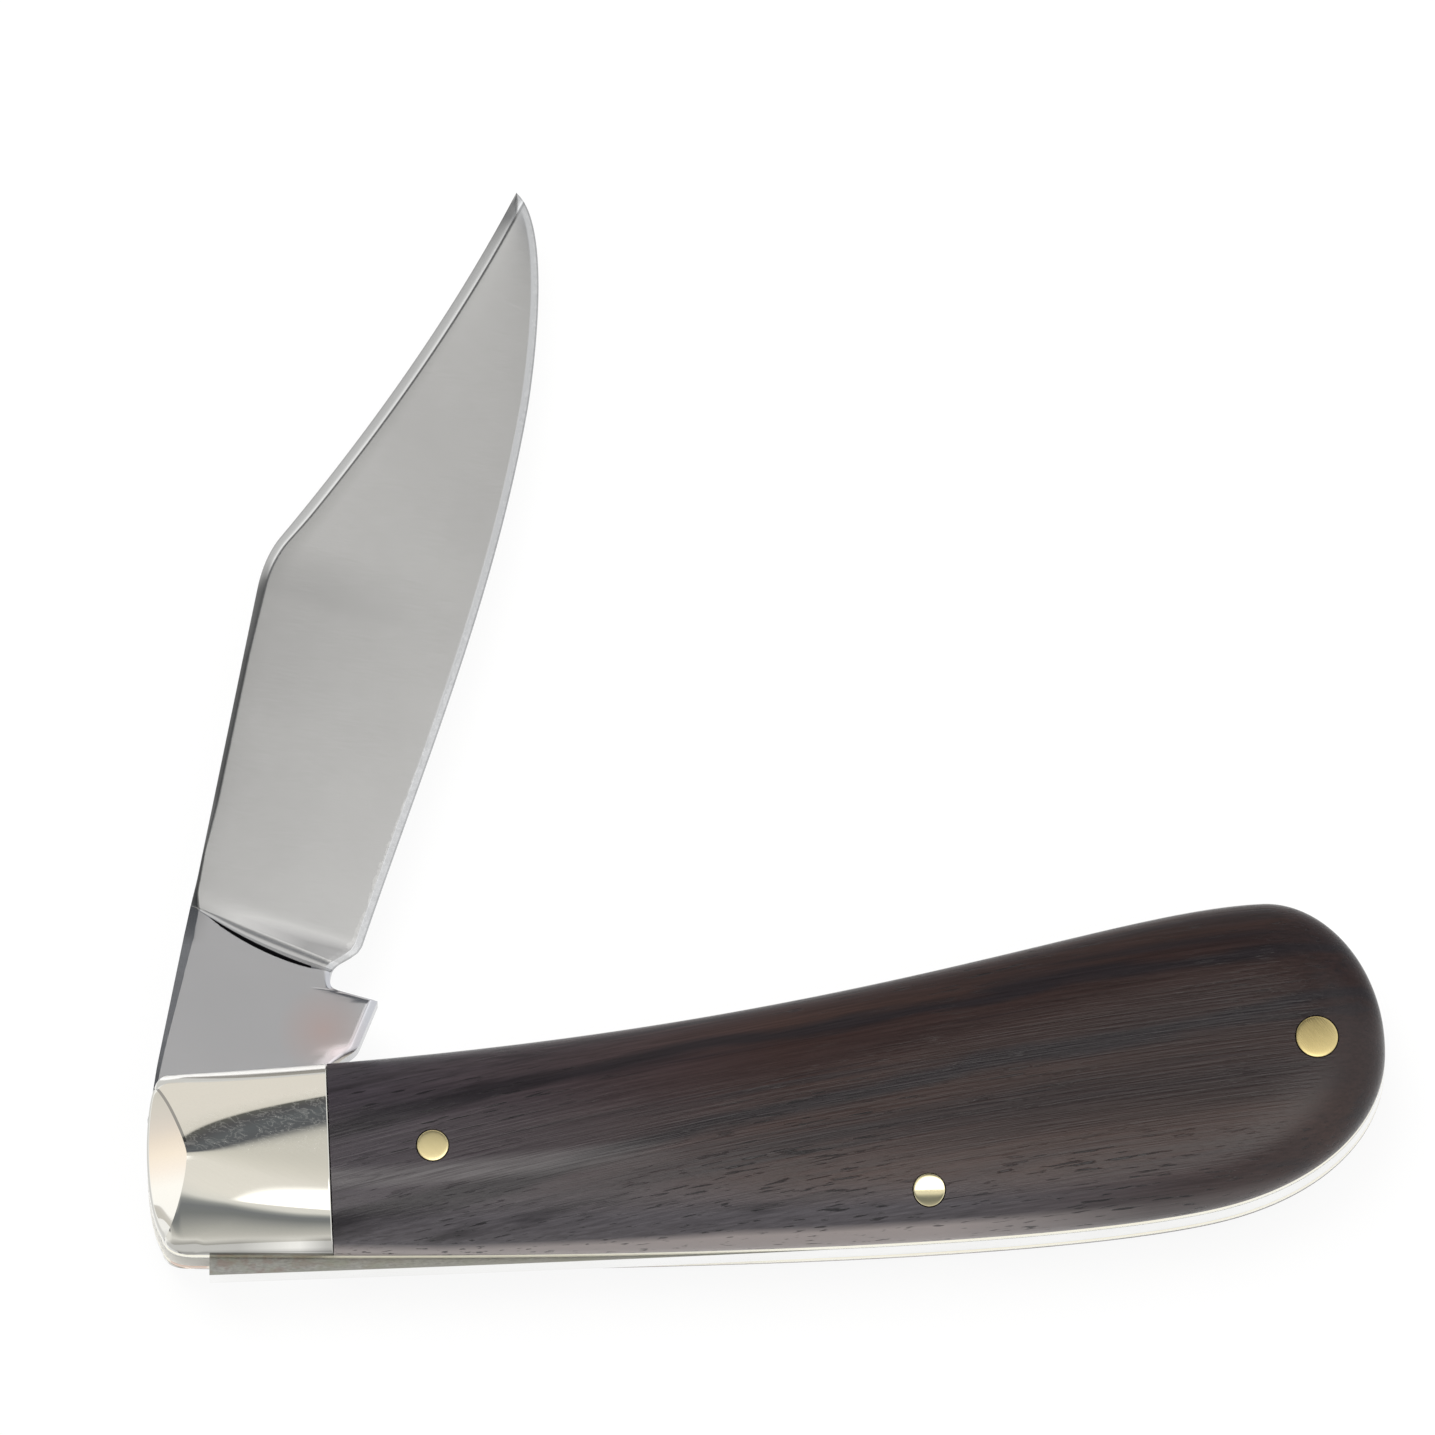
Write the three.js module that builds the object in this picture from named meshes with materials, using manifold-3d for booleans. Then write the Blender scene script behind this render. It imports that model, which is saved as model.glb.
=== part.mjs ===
// Folding pocket knife: a single-blade slip joint, half open.
// Millimetres. The knife lies on its back side: X runs to the butt, Y to the side where the
// blade folds in, Z up through the thickness. The origin is the pivot axis at the resting plane.
import * as THREE from 'three';
import Module from 'manifold-3d';
import { mergeVertices, toCreasedNormals } from 'three/addons/utils/BufferGeometryUtils.js';

const wasm = await Module();
wasm.setup();

// Thickness of the stack, from the middle plane outwards
const BLADE_THICKNESS = 2.5;
const BLADE_SIDE_GAP = 0.1;
const SPRING_SIDE_GAP = 0.05;
const LINER_THICKNESS = 0.9;
const COVER_THICKNESS = 3.75;

// Handle outline: the head at the pivot end, the crest of the swell and the butt
const FRONT_X = -6.9;
const HEAD_X = -6.1;
const HEAD_TOP_Y = 6.75;
const HEAD_BACK_Y = -7.3;
const HEAD_CORNER_RADIUS = 1.4;
const BUTT_X = 87.95;
const BUTT_Y = 8.6;
const BUTT_RADIUS = 11.8;
const CREST_FROM_BUTT = 9.55;
const CREST_Y = 20.25;
const BUTT_LOW_FROM_BUTT = 12.55;
const BUTT_LOW_Y = -3.6;

// How far the handles of the outline's curves reach from the points above
const HEAD_PULL_X = 50.2;
const HEAD_TOP_PULL_Y = 2.6;
const HEAD_BACK_PULL_Y = -0.6;
const CREST_PULL_BEFORE = [-13, -0.65];
const CREST_PULL_AFTER = [4.8, 0.35];
const BUTT_PULL_UP = 6.8;
const BUTT_PULL_DOWN = -5.4;
const BUTT_LOW_PULL = [8, 2];

// Cover section: a superellipse from the edge up to a narrow flat crown. Its power is low where
// the front is pinched to a ridge, and high where the top is nearly flat
const CROWN_HALF = 0.9;
const RIDGE_POWER = 1.35;
const BOLSTER_POWER = 3.6;
const WAIST_X = 33;
const WAIST_POWER = 2.5;
const SWELL_POWER = 4.5;

// The joint between bolster and scale stands square to the handle's middle line
const BOLSTER_END_X = 7.13;
const JOINT_TURN = 2.2;

// Facet at the front of a bolster, turned a little towards the spring side
const FACET_LENGTH = 3.06;
const FACET_DROP = 2.6;
const FACET_TURN = 5;

// Pins and rivets
const PIVOT_PIN_RADIUS = 1.6;
const CENTER_PIN_X = 53;
const CENTER_PIN_DEPTH = 3.305;
const CENTER_PIN_RADIUS = 1.2;
const END_PIN_FROM_BUTT = 5.25;
const END_PIN_Y = 9;
const END_PIN_RADIUS = 1.6;
const SCALE_PIN_X = 15;
const SCALE_PIN_Y = 0.4;
const SCALE_PIN_RADIUS = 1.2;
const RIVET_X = 3.6;
const RIVET_SPREAD = 3.9;
const RIVET_RADIUS = 0.8;
const PIN_FIT = 0.05;
const PIVOT_FIT = 0.04;

// Backspring
const SPRING_SEAT = 4.3;
const KICK_SEAT_RISE = 0.28;
const KICK_SEAT_X = 16.35;
const KICK_SEAT_LENGTH = 4.3;
const SPRING_NOSE_X = -2.1;
const SPRING_REACH = 46;
const SPRING_BEND = 1.6;
const SPRING_BOSS_MARGIN = 1.7;
const SPRING_TAPER = 0.35;
const SPRING_REAR_RISE = 0.3;
const SPRING_END_Y = 11.6;
const CONTACT_GAP = 0.04;

// Blade travel: the direction of the blade in the handle when shut and as it lies here
const SHUT_ANGLE = 14.8;
const REST_ANGLE = 78.8;

// Tang, in blade axes: x to the tip, y to the spine, the pivot at 0,0
const CAM_RADIUS = 5.52;
const OPEN_STOP_GAP = 0.05;
const SPINE_PROUD = 0.08;
const TANG_EASE = 0.2;
const TANG_FLAT_END = 4;
const TANG_RELIEF = 1.7;
const CHOIL_X = 16.3;
const CHOIL_Y = -4.05;
const CHOIL_CORNER = 0.85;
const KICK_LEAN = 0.24;

// Blade
const PLUNGE_SPINE_X = 19;
const PLUNGE_RADIUS = 1.1;
const PLUNGE_BOW = 0.35;
const PLUNGE_STEP = 0.04;
const HEEL_X = 19.15;
const HEEL_Y = -5.98;
const BELLY_X = 63.2;
const BELLY_Y = -10.13;
const CHOIL_PULL = [1.2, 0];
const HEEL_PULL_BEFORE = [-1.25, 0.08];
const HEEL_PULL_AFTER = [15.2, -1.9];
const BELLY_PULL_BEFORE = [-15.4, -0.4];
const BELLY_PULL_AFTER = [1.8, 0.06];
const CLIP_X = 45;
const CLIP_TURN = 4.5;
const CLIP_TURN_PULL = 2.7;
const CLIP_FALL = 0.93;
const CLIP_HOLLOW = [-14.2, 3.97];
const TIP_X = 79.87;
const TIP_Y = -5.94;
const TIP_PULL = [-2, -3.47];
const SPINE_HALF = 1.2;
const CLIP_HALF = 1.0;
const TIP_HALF = 0.45;
const TIP_BLUNT = 0.06;
const SHOULDER_HALF = 0.2;
const EDGE_HALF = 0.01;
const BEVEL_WIDTH = 0.6;
const CROWN_WIDTH = 0.35;
const CROWN_SHARE = 0.85;
const SWEDGE_WIDTH = 0.9;
const SWEDGE_SHARE = 0.3;
const NARROW_SHARE = 0.4;

// Nail nick, in the side that lies down
const NICK_X = 38.5;
const NICK_LENGTH = 13;
const NICK_HEIGHT = 1.5;
const NICK_BELOW_SPINE = 1.9;
const NICK_DEPTH = 0.6;

// Steps of the curved faces
const EDGE_STEPS = 16;
const BUTT_STEPS = 10;
const BOLSTER_STEPS = 9;
const DOME_STEPS = 6;
const SEAT_STEPS = 5;
const PIN_SIDES = 24;
const PLUNGE_STATIONS = 5;
const HEEL_STATIONS = 5;
const BLADE_STATIONS = 32;
const FACE_STEPS = 4;
const STATION_CROWDING = 1.4;
const SMOOTH_ANGLE = 0.5;

// Heights that follow from the stack
const SLOT_HALF = BLADE_THICKNESS / 2 + BLADE_SIDE_GAP;
const LINER_TOP = SLOT_HALF + LINER_THICKNESS;
const CROWN = LINER_TOP + COVER_THICKNESS;
const MIDDLE_Z = CROWN;

// Places that follow from the butt
const CREST_X = BUTT_X - CREST_FROM_BUTT;
const BUTT_LOW_X = BUTT_X - BUTT_LOW_FROM_BUTT;
const END_PIN_X = BUTT_X - END_PIN_FROM_BUTT;

const steel = new THREE.MeshStandardMaterial({ color: 0xafafac, roughness: 0.32, metalness: 0.9 });
const springSteel = new THREE.MeshStandardMaterial({ color: 0x77777a, roughness: 0.45, metalness: 0.9 });
const nickelSilver = new THREE.MeshStandardMaterial({ color: 0xdcd8cb, roughness: 0.12, metalness: 1 });
const brass = new THREE.MeshStandardMaterial({ color: 0xcbbe91, roughness: 0.3, metalness: 1 });
const rosewood = new THREE.MeshStandardMaterial({ color: 0x463a38, roughness: 0.4, metalness: 0 });

function toSolid(geometry) {
  const bare = new THREE.BufferGeometry();
  bare.setAttribute('position', geometry.getAttribute('position').clone());
  if (geometry.index) bare.setIndex(geometry.index.clone());
  const merged = mergeVertices(bare, 1e-5);
  return new wasm.Manifold(new wasm.Mesh({
    numProp: 3,
    vertProperties: new Float32Array(merged.getAttribute('position').array),
    triVerts: new Uint32Array(merged.index.array),
  }));
}

function toGeometry(solid) {
  const mesh = solid.getMesh();
  const geometry = new THREE.BufferGeometry();
  geometry.setAttribute('position', new THREE.BufferAttribute(mesh.vertProperties, 3));
  geometry.setIndex(new THREE.BufferAttribute(mesh.triVerts, 1));
  return toCreasedNormals(geometry, SMOOTH_ANGLE);
}

function part(name, solid, material) {
  const mesh = new THREE.Mesh(toGeometry(solid), material.clone());
  mesh.name = name;
  return mesh;
}

// A flat shape between two heights
function plate(shape, from, to, curveSegments = PIN_SIDES / 4) {
  const geometry = new THREE.ExtrudeGeometry(shape, {
    depth: to - from,
    bevelEnabled: false,
    curveSegments,
  });
  geometry.translate(0, 0, from);
  return toSolid(geometry);
}

function pin(x, y, radius, from, to) {
  const geometry = new THREE.CylinderGeometry(radius, radius, to - from, PIN_SIDES);
  geometry.rotateX(Math.PI / 2);
  geometry.translate(x, y, (from + to) / 2);
  return toSolid(geometry);
}

// A closed skin over rings with the same number of points
function loft(rings, flatRing) {
  const count = rings[0].length;
  const last = (rings.length - 1) * count;
  const faces = [];
  for (let i = 0; i < rings.length - 1; i += 1) {
    for (let j = 0; j < count; j += 1) {
      const a = i * count + j;
      const b = i * count + ((j + 1) % count);
      faces.push(a, b, b + count, a, b + count, a + count);
    }
  }
  for (const [a, b, c] of THREE.ShapeUtils.triangulateShape(flatRing(rings[0]), [])) {
    faces.push(c, b, a);
  }
  for (const [a, b, c] of THREE.ShapeUtils.triangulateShape(flatRing(rings.at(-1)), [])) {
    faces.push(last + a, last + b, last + c);
  }
  const geometry = new THREE.BufferGeometry().setFromPoints(rings.flat());
  geometry.setIndex(faces);
  return toSolid(geometry);
}

// The height of a curve that runs along X, read between its points
function heightOn(points, x) {
  const rising = points[0].x < points.at(-1).x;
  const along = rising ? points : [...points].reverse();
  let i = 1;
  while (i < along.length - 1 && along[i].x < x) i += 1;
  const [a, b] = [along[i - 1], along[i]];
  return a.y + ((b.y - a.y) * (x - a.x)) / (b.x - a.x);
}

// A curve to a point, its two handles given from the points that they belong to
function curveTo(path, fromPull, x, y, toPull) {
  const from = path.currentPoint;
  path.bezierCurveTo(from.x + fromPull[0], from.y + fromPull[1], x + toPull[0], y + toPull[1], x, y);
}

// Handle outline, from the head along the top edge, round the butt and back along the spring side
function topEdge() {
  const path = new THREE.Path().moveTo(HEAD_X, HEAD_TOP_Y);
  curveTo(path, [HEAD_PULL_X, HEAD_TOP_PULL_Y], CREST_X, CREST_Y, CREST_PULL_BEFORE);
  return path.getPoints(EDGE_STEPS);
}

function buttEdge() {
  const path = new THREE.Path().moveTo(CREST_X, CREST_Y);
  curveTo(path, CREST_PULL_AFTER, BUTT_X, BUTT_Y, [0, BUTT_PULL_UP]);
  curveTo(path, [0, BUTT_PULL_DOWN], BUTT_LOW_X, BUTT_LOW_Y, BUTT_LOW_PULL);
  return path.getPoints(BUTT_STEPS);
}

function backEdge() {
  const path = new THREE.Path().moveTo(BUTT_LOW_X, BUTT_LOW_Y);
  const before = BUTT_LOW_PULL.map((reach) => -reach);
  curveTo(path, before, HEAD_X, HEAD_BACK_Y, [HEAD_PULL_X, HEAD_BACK_PULL_Y]);
  return path.getPoints(EDGE_STEPS);
}

const top = topEdge();
const butt = buttEdge();
const back = backEdge();

// The plan of liners and covers: the same edges, closed by the bulging front
function handleShape() {
  const r = HEAD_CORNER_RADIUS;
  const topStart = heightOn(top, HEAD_X + r);
  const backStart = heightOn(back, HEAD_X + 2 * r);
  const shape = new THREE.Shape().moveTo(HEAD_X + r, topStart);
  for (const p of top) {
    if (p.x > HEAD_X + r) shape.lineTo(p.x, p.y);
  }
  for (const p of butt.slice(1)) shape.lineTo(p.x, p.y);
  for (const p of back.slice(1)) {
    if (p.x > HEAD_X + 2 * r) shape.lineTo(p.x, p.y);
  }
  shape.lineTo(HEAD_X + 2 * r, backStart);
  shape.quadraticCurveTo(HEAD_X + r / 2, backStart, HEAD_X + r / 4, backStart + r);
  const bulge = FRONT_X - (HEAD_X - FRONT_X) / 3;
  shape.bezierCurveTo(bulge, backStart / 2, bulge, topStart / 2, HEAD_X - r / 6, topStart - r);
  shape.quadraticCurveTo(HEAD_X, topStart, HEAD_X + r, topStart);
  return shape;
}

// The line midway between the two edges, towards which the covers round over
function coreLine() {
  const points = [];
  const end = BUTT_X - BUTT_RADIUS;
  const start = 2 * FRONT_X;
  const steps = 2 * EDGE_STEPS;
  for (let i = 0; i <= steps; i += 1) {
    const x = start + ((end - start) * i) / steps;
    points.push(new THREE.Vector2(x, (heightOn(top, x) + backHeight(x)) / 2));
  }
  return points;
}

// The spring side, read on past its low end
function backHeight(x) {
  return heightOn(back, Math.min(x, BUTT_LOW_X));
}

function nearestOn(points, p) {
  let best = points[0];
  for (let i = 1; i < points.length; i += 1) {
    const a = points[i - 1];
    const ab = points[i].clone().sub(a);
    const share = THREE.MathUtils.clamp(p.clone().sub(a).dot(ab) / ab.lengthSq(), 0, 1);
    const q = a.clone().addScaledVector(ab, share);
    if (q.distanceTo(p) < best.distanceTo(p)) best = q;
  }
  return best;
}

// The power of the cover's section at x
function sectionPower(x) {
  const powers = [
    new THREE.Vector2(FRONT_X + FACET_LENGTH, RIDGE_POWER),
    new THREE.Vector2(BOLSTER_END_X, BOLSTER_POWER),
    new THREE.Vector2(WAIST_X, WAIST_POWER),
    new THREE.Vector2(BUTT_X - BUTT_RADIUS, SWELL_POWER),
  ];
  return heightOn(powers, THREE.MathUtils.clamp(x, powers[0].x, powers.at(-1).x));
}

// How high the cover stands over the liner, a share of the way out from the core line
function coverHeight(share, power, flat) {
  return COVER_THICKNESS * Math.sqrt((1 - share ** power) / (1 - flat ** power));
}

// Points of an edge from before the front on, close together over the bolster
function coverEdge(points) {
  const stations = [2 * FRONT_X];
  for (let i = 0; i < BOLSTER_STEPS; i += 1) {
    stations.push(blend(FRONT_X, BOLSTER_END_X, i / BOLSTER_STEPS));
  }
  const rest = points.filter((p) => p.x > BOLSTER_END_X).sort((a, b) => a.x - b.x);
  return [...stations.map((x) => new THREE.Vector2(x, heightOn(points, x))), ...rest];
}

// Everything above the liner: the outline drawn in towards the core line as it rises
function coverEnvelope() {
  const outline = [...coverEdge(top), ...butt.slice(1, -1), ...coverEdge(back).reverse()].reverse();
  const core = coreLine();
  const rings = [];
  for (let step = 0; step <= DOME_STEPS; step += 1) {
    const drawn = 1 - Math.cos((step / DOME_STEPS) * (Math.PI / 2));
    rings.push(outline.map((p) => {
      const center = nearestOn(core, p);
      const flat = CROWN_HALF / center.distanceTo(p);
      const share = 1 - (1 - flat) * drawn;
      const at = center.clone().lerp(p, share);
      const rise = step === DOME_STEPS ? COVER_THICKNESS : coverHeight(share, sectionPower(center.x), flat);
      return new THREE.Vector3(at.x, at.y, LINER_TOP + rise);
    }));
  }
  return loft(rings, (ring) => ring.map((p) => new THREE.Vector2(p.x, p.y)));
}

// The front of a bolster is ground off to a plane facet
function facetCutter() {
  const size = 4 * CROWN;
  const geometry = new THREE.BoxGeometry(size, size, size);
  geometry.translate(-size / 2, 0, size / 2);
  geometry.rotateY(-Math.atan2(FACET_DROP, FACET_LENGTH));
  geometry.rotateZ(THREE.MathUtils.degToRad(FACET_TURN));
  geometry.translate(FRONT_X + FACET_LENGTH, 0, CROWN);
  return toSolid(geometry);
}

// Everything on the butt's side of the joint between bolster and scale
function pastJoint() {
  const size = 4 * BUTT_X;
  const geometry = new THREE.BoxGeometry(size, size, size);
  geometry.translate(size / 2, 0, 0);
  geometry.rotateZ(THREE.MathUtils.degToRad(JOINT_TURN));
  geometry.translate(BOLSTER_END_X, 0, 0);
  return toSolid(geometry);
}

const pins = {
  pivot: { x: 0, y: 0, radius: PIVOT_PIN_RADIUS, fit: PIN_FIT },
  center: {
    x: CENTER_PIN_X,
    y: heightOn(back, CENTER_PIN_X) + CENTER_PIN_DEPTH,
    radius: CENTER_PIN_RADIUS,
    fit: PIN_FIT,
  },
  end: { x: END_PIN_X, y: END_PIN_Y, radius: END_PIN_RADIUS, fit: PIN_FIT },
  scale: { x: SCALE_PIN_X, y: SCALE_PIN_Y, radius: SCALE_PIN_RADIUS, fit: PIN_FIT },
  rivet_1: { x: RIVET_X, y: RIVET_SPREAD, radius: RIVET_RADIUS, fit: PIN_FIT },
  rivet_2: { x: RIVET_X, y: -RIVET_SPREAD, radius: RIVET_RADIUS, fit: PIN_FIT },
};

function drill(solid, names) {
  return names.reduce((left, name) => {
    const p = pins[name];
    return left.subtract(pin(p.x, p.y, p.radius + p.fit, -2 * CROWN, 2 * CROWN));
  }, solid);
}

const envelope = coverEnvelope();
const cover = envelope.intersect(plate(handleShape(), 0, 2 * CROWN));
const scaleSide = pastJoint();

function makeLiner() {
  const liner = plate(handleShape(), SLOT_HALF, LINER_TOP);
  return drill(liner, Object.keys(pins));
}

function makeBolster() {
  const head = cover.subtract(scaleSide).subtract(facetCutter());
  return drill(head, ['pivot', 'rivet_1', 'rivet_2']);
}

function makeScale() {
  return drill(cover.intersect(scaleSide), ['center', 'end', 'scale']);
}

// A pin that reaches through both covers, its ends ground flush with them
function makeThroughPin({ x, y, radius }) {
  const rod = pin(x, y, radius, -2 * CROWN, 2 * CROWN);
  const upper = rod.intersect(envelope);
  const core = pin(x, y, radius, -LINER_TOP, LINER_TOP);
  return core.add(upper).add(mirrored(upper));
}

// A pin that holds one cover on its liner and stays out of the slot
function makeShortPin({ x, y, radius }) {
  const rod = pin(x, y, radius, SLOT_HALF, 2 * CROWN);
  const head = rod.intersect(envelope);
  return pin(x, y, radius, SLOT_HALF, LINER_TOP).add(head);
}

function mirrored(solid) {
  return solid.mirror([0, 0, 1]);
}

// How far the half-open tang has bent the spring outwards at x
function springLift(x) {
  const atPivot = CAM_RADIUS + CONTACT_GAP - SPRING_SEAT;
  return atPivot * Math.max(0, (SPRING_REACH - x) / SPRING_REACH) ** SPRING_BEND;
}

// The inner side of the spring when it lies flush: the cam's seat, the kick's seat, then the bosses
function springInside() {
  const { center, end } = pins;
  const boss = center.y + center.radius + SPRING_BOSS_MARGIN;
  const ring = end.radius + SPRING_BOSS_MARGIN;
  const points = [];
  for (let i = 0; i <= SEAT_STEPS; i += 1) {
    const x = blend(SPRING_NOSE_X, KICK_SEAT_X - KICK_SEAT_LENGTH, i / SEAT_STEPS);
    points.push(new THREE.Vector2(x, -SPRING_SEAT));
  }
  const curve = new THREE.SplineCurve([
    new THREE.Vector2(KICK_SEAT_X, KICK_SEAT_RISE - SPRING_SEAT),
    new THREE.Vector2((KICK_SEAT_X + center.x) / 2, blend(KICK_SEAT_RISE - SPRING_SEAT, boss, SPRING_TAPER)),
    new THREE.Vector2(center.x, boss),
    new THREE.Vector2((center.x + end.x) / 2, boss + SPRING_REAR_RISE),
    new THREE.Vector2(end.x - ring - 2, end.y - ring - 2),
    new THREE.Vector2(end.x - ring, end.y),
    new THREE.Vector2(end.x - ring / 2, end.y + ring),
  ]);
  return [...points, ...curve.getPoints(2 * EDGE_STEPS)];
}

// The end of the spring on the butt, where the outline falls past its height
function springEnd() {
  const i = butt.findIndex((p) => p.y < SPRING_END_Y);
  const [a, b] = [butt[i - 1], butt[i]];
  return a.clone().lerp(b, (a.y - SPRING_END_Y) / (a.y - b.y));
}

function makeSpring() {
  const outside = [...butt, ...back.slice(1)].filter((p) => p.y < SPRING_END_Y && p.x > SPRING_NOSE_X);
  const nose = new THREE.Vector2(SPRING_NOSE_X, backHeight(SPRING_NOSE_X));
  const outline = [...springInside(), springEnd(), ...outside, nose];
  const shape = new THREE.Shape(outline.map((p) => new THREE.Vector2(p.x, p.y - springLift(p.x))));
  const half = SLOT_HALF - SPRING_SIDE_GAP;
  return drill(plate(shape, -half, half), ['center', 'end']);
}

// Outline of the blade in its own axes
const spineY = SPINE_PROUD - backHeight(SPRING_NOSE_X);

function spinePath() {
  const path = new THREE.Path().moveTo(0, spineY);
  path.lineTo(CLIP_X, spineY);
  path.quadraticCurveTo(CLIP_X + CLIP_TURN_PULL, spineY, CLIP_X + CLIP_TURN, spineY - CLIP_FALL);
  path.quadraticCurveTo(TIP_X + CLIP_HOLLOW[0], TIP_Y + CLIP_HOLLOW[1], TIP_X, TIP_Y);
  return path.getPoints(EDGE_STEPS);
}

function edgePath() {
  const path = new THREE.Path().moveTo(CHOIL_X, CHOIL_Y);
  curveTo(path, CHOIL_PULL, HEEL_X, HEEL_Y, HEEL_PULL_BEFORE);
  curveTo(path, HEEL_PULL_AFTER, BELLY_X, BELLY_Y, BELLY_PULL_BEFORE);
  curveTo(path, BELLY_PULL_AFTER, TIP_X, TIP_Y, TIP_PULL);
  return path.getPoints(EDGE_STEPS);
}

const spine = spinePath();
const edge = edgePath();

function blend(from, to, share) {
  return from + (to - from) * THREE.MathUtils.clamp(share, 0, 1);
}

// A point of the handle in the axes of the shut blade
function inShutBlade(x, y) {
  const turn = -THREE.MathUtils.degToRad(SHUT_ANGLE);
  return new THREE.Vector2(x, y).rotateAround(new THREE.Vector2(), turn);
}

// The tang: open stop, open flat, round cam end, shut flat, relief, kick, choil and plunge line
function tangShape() {
  const flat = SPRING_SEAT - CONTACT_GAP;
  const stopX = OPEN_STOP_GAP - SPRING_NOSE_X;
  const corner = Math.acos(flat / CAM_RADIUS);
  const shutFlat = THREE.MathUtils.degToRad(270 - SHUT_ANGLE);
  const kickStartX = KICK_SEAT_X - KICK_SEAT_LENGTH;
  const flatEnd = inShutBlade(TANG_FLAT_END, -flat);
  const hollow = inShutBlade(TANG_FLAT_END + TANG_RELIEF, TANG_RELIEF - flat);
  const hollowEnd = inShutBlade(kickStartX - TANG_RELIEF, TANG_RELIEF - flat);
  const kickStart = inShutBlade(kickStartX, -flat);
  const kick = inShutBlade(KICK_SEAT_X, KICK_SEAT_RISE - flat);
  const shape = new THREE.Shape().moveTo(stopX, spineY);
  shape.lineTo(stopX, flat);
  shape.absarc(0, 0, CAM_RADIUS, Math.PI / 2 + corner, shutFlat - corner, false);
  shape.lineTo(flatEnd.x, flatEnd.y);
  shape.bezierCurveTo(hollow.x, hollow.y, hollowEnd.x, hollowEnd.y, kickStart.x, kickStart.y);
  shape.lineTo(kick.x, kick.y);
  const cornerX = kick.x + KICK_LEAN;
  shape.lineTo(cornerX, CHOIL_Y - CHOIL_CORNER);
  shape.quadraticCurveTo(cornerX, CHOIL_Y, CHOIL_X, CHOIL_Y);
  const middleX = (CHOIL_X + PLUNGE_SPINE_X) / 2;
  shape.quadraticCurveTo(middleX - 2 * PLUNGE_BOW, (CHOIL_Y + spineY) / 2, PLUNGE_SPINE_X, spineY);
  return shape;
}

function makeTang() {
  const geometry = new THREE.ExtrudeGeometry(tangShape(), {
    depth: BLADE_THICKNESS - 2 * TANG_EASE,
    bevelThickness: TANG_EASE,
    bevelSize: TANG_EASE,
    bevelOffset: -TANG_EASE,
    bevelSegments: 1,
    curveSegments: PIN_SIDES / 2,
  });
  geometry.translate(0, 0, TANG_EASE - BLADE_THICKNESS / 2);
  return toSolid(geometry);
}

// Half thickness of the ground blade at its spine, thinner towards the tip
function spineHalf(x) {
  if (x < CLIP_X) return blend(SPINE_HALF, CLIP_HALF, (x - PLUNGE_SPINE_X) / (CLIP_X - PLUNGE_SPINE_X));
  return blend(CLIP_HALF, TIP_HALF, (x - CLIP_X) / (TIP_X - CLIP_X));
}

// One section across the blade: spine, crown or swedge, flat grind, bevel shoulder, edge. Its
// middle can be drawn back towards the tang by a bow
function bladeSection(spineX, edgeX, ground, bow) {
  const from = new THREE.Vector2(spineX, heightOn(spine, spineX));
  const to = new THREE.Vector2(edgeX, heightOn(edge, edgeX));
  const width = from.distanceTo(to);
  const clip = THREE.MathUtils.smoothstep(spineX, CLIP_X, CLIP_X + 2 * CLIP_TURN);
  const crownWidth = Math.min(blend(CROWN_WIDTH, SWEDGE_WIDTH, clip), NARROW_SHARE * width);
  const shoulder = width - Math.min(BEVEL_WIDTH, NARROW_SHARE * width);
  const unground = BLADE_THICKNESS / 2 - PLUNGE_STEP;
  const half = spineHalf(spineX);
  const profile = [[0, half * blend(CROWN_SHARE, SWEDGE_SHARE, clip), unground - TANG_EASE]];
  for (let i = 0; i <= FACE_STEPS; i += 1) {
    const across = blend(crownWidth, shoulder, i / FACE_STEPS);
    profile.push([across, blend(half, SHOULDER_HALF, across / shoulder), unground]);
  }
  profile.push([width, EDGE_HALF, unground - TANG_EASE]);
  const points = profile.map(([across, thin, thick]) => {
    const share = across / width;
    const p = from.clone().lerp(to, share);
    return new THREE.Vector3(p.x - 4 * bow * share * (1 - share), p.y, blend(thick, thin, ground));
  });
  const lower = points.map((p) => new THREE.Vector3(p.x, p.y, -p.z)).reverse();
  return [...points, ...lower];
}

// Where the blade's sections stand between plunge and tip: close together up to the heel, and
// again towards the tip, which ends a little blunt
function bladeShares(heelShare) {
  const shares = [];
  for (let i = 1; i <= HEEL_STATIONS; i += 1) shares.push((heelShare * i) / HEEL_STATIONS);
  for (let i = 1; i <= BLADE_STATIONS; i += 1) {
    const along = 1 - (1 - i / BLADE_STATIONS) ** STATION_CROWDING;
    shares.push(blend(heelShare, 1 - TIP_BLUNT / TIP_X, along));
  }
  return shares;
}

function groundBlade() {
  const overlap = 2 * TANG_EASE;
  const sections = [bladeSection(PLUNGE_SPINE_X - overlap, CHOIL_X - overlap, 0, PLUNGE_BOW)];
  for (let i = 0; i <= PLUNGE_STATIONS; i += 1) {
    const share = i / PLUNGE_STATIONS;
    const spineX = PLUNGE_SPINE_X + share * PLUNGE_RADIUS;
    const edgeX = CHOIL_X + share * PLUNGE_RADIUS;
    const ground = Math.sqrt(1 - (1 - share) ** 2);
    sections.push(bladeSection(spineX, edgeX, ground, PLUNGE_BOW * (1 - share)));
  }
  const spineStart = PLUNGE_SPINE_X + PLUNGE_RADIUS;
  const edgeStart = CHOIL_X + PLUNGE_RADIUS;
  for (const share of bladeShares((HEEL_X - edgeStart) / (TIP_X - edgeStart))) {
    sections.push(bladeSection(blend(spineStart, TIP_X, share), blend(edgeStart, TIP_X, share), 1, 0));
  }
  return loft(sections, (ring) => ring.map((p) => new THREE.Vector2(p.y, p.z)));
}

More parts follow.
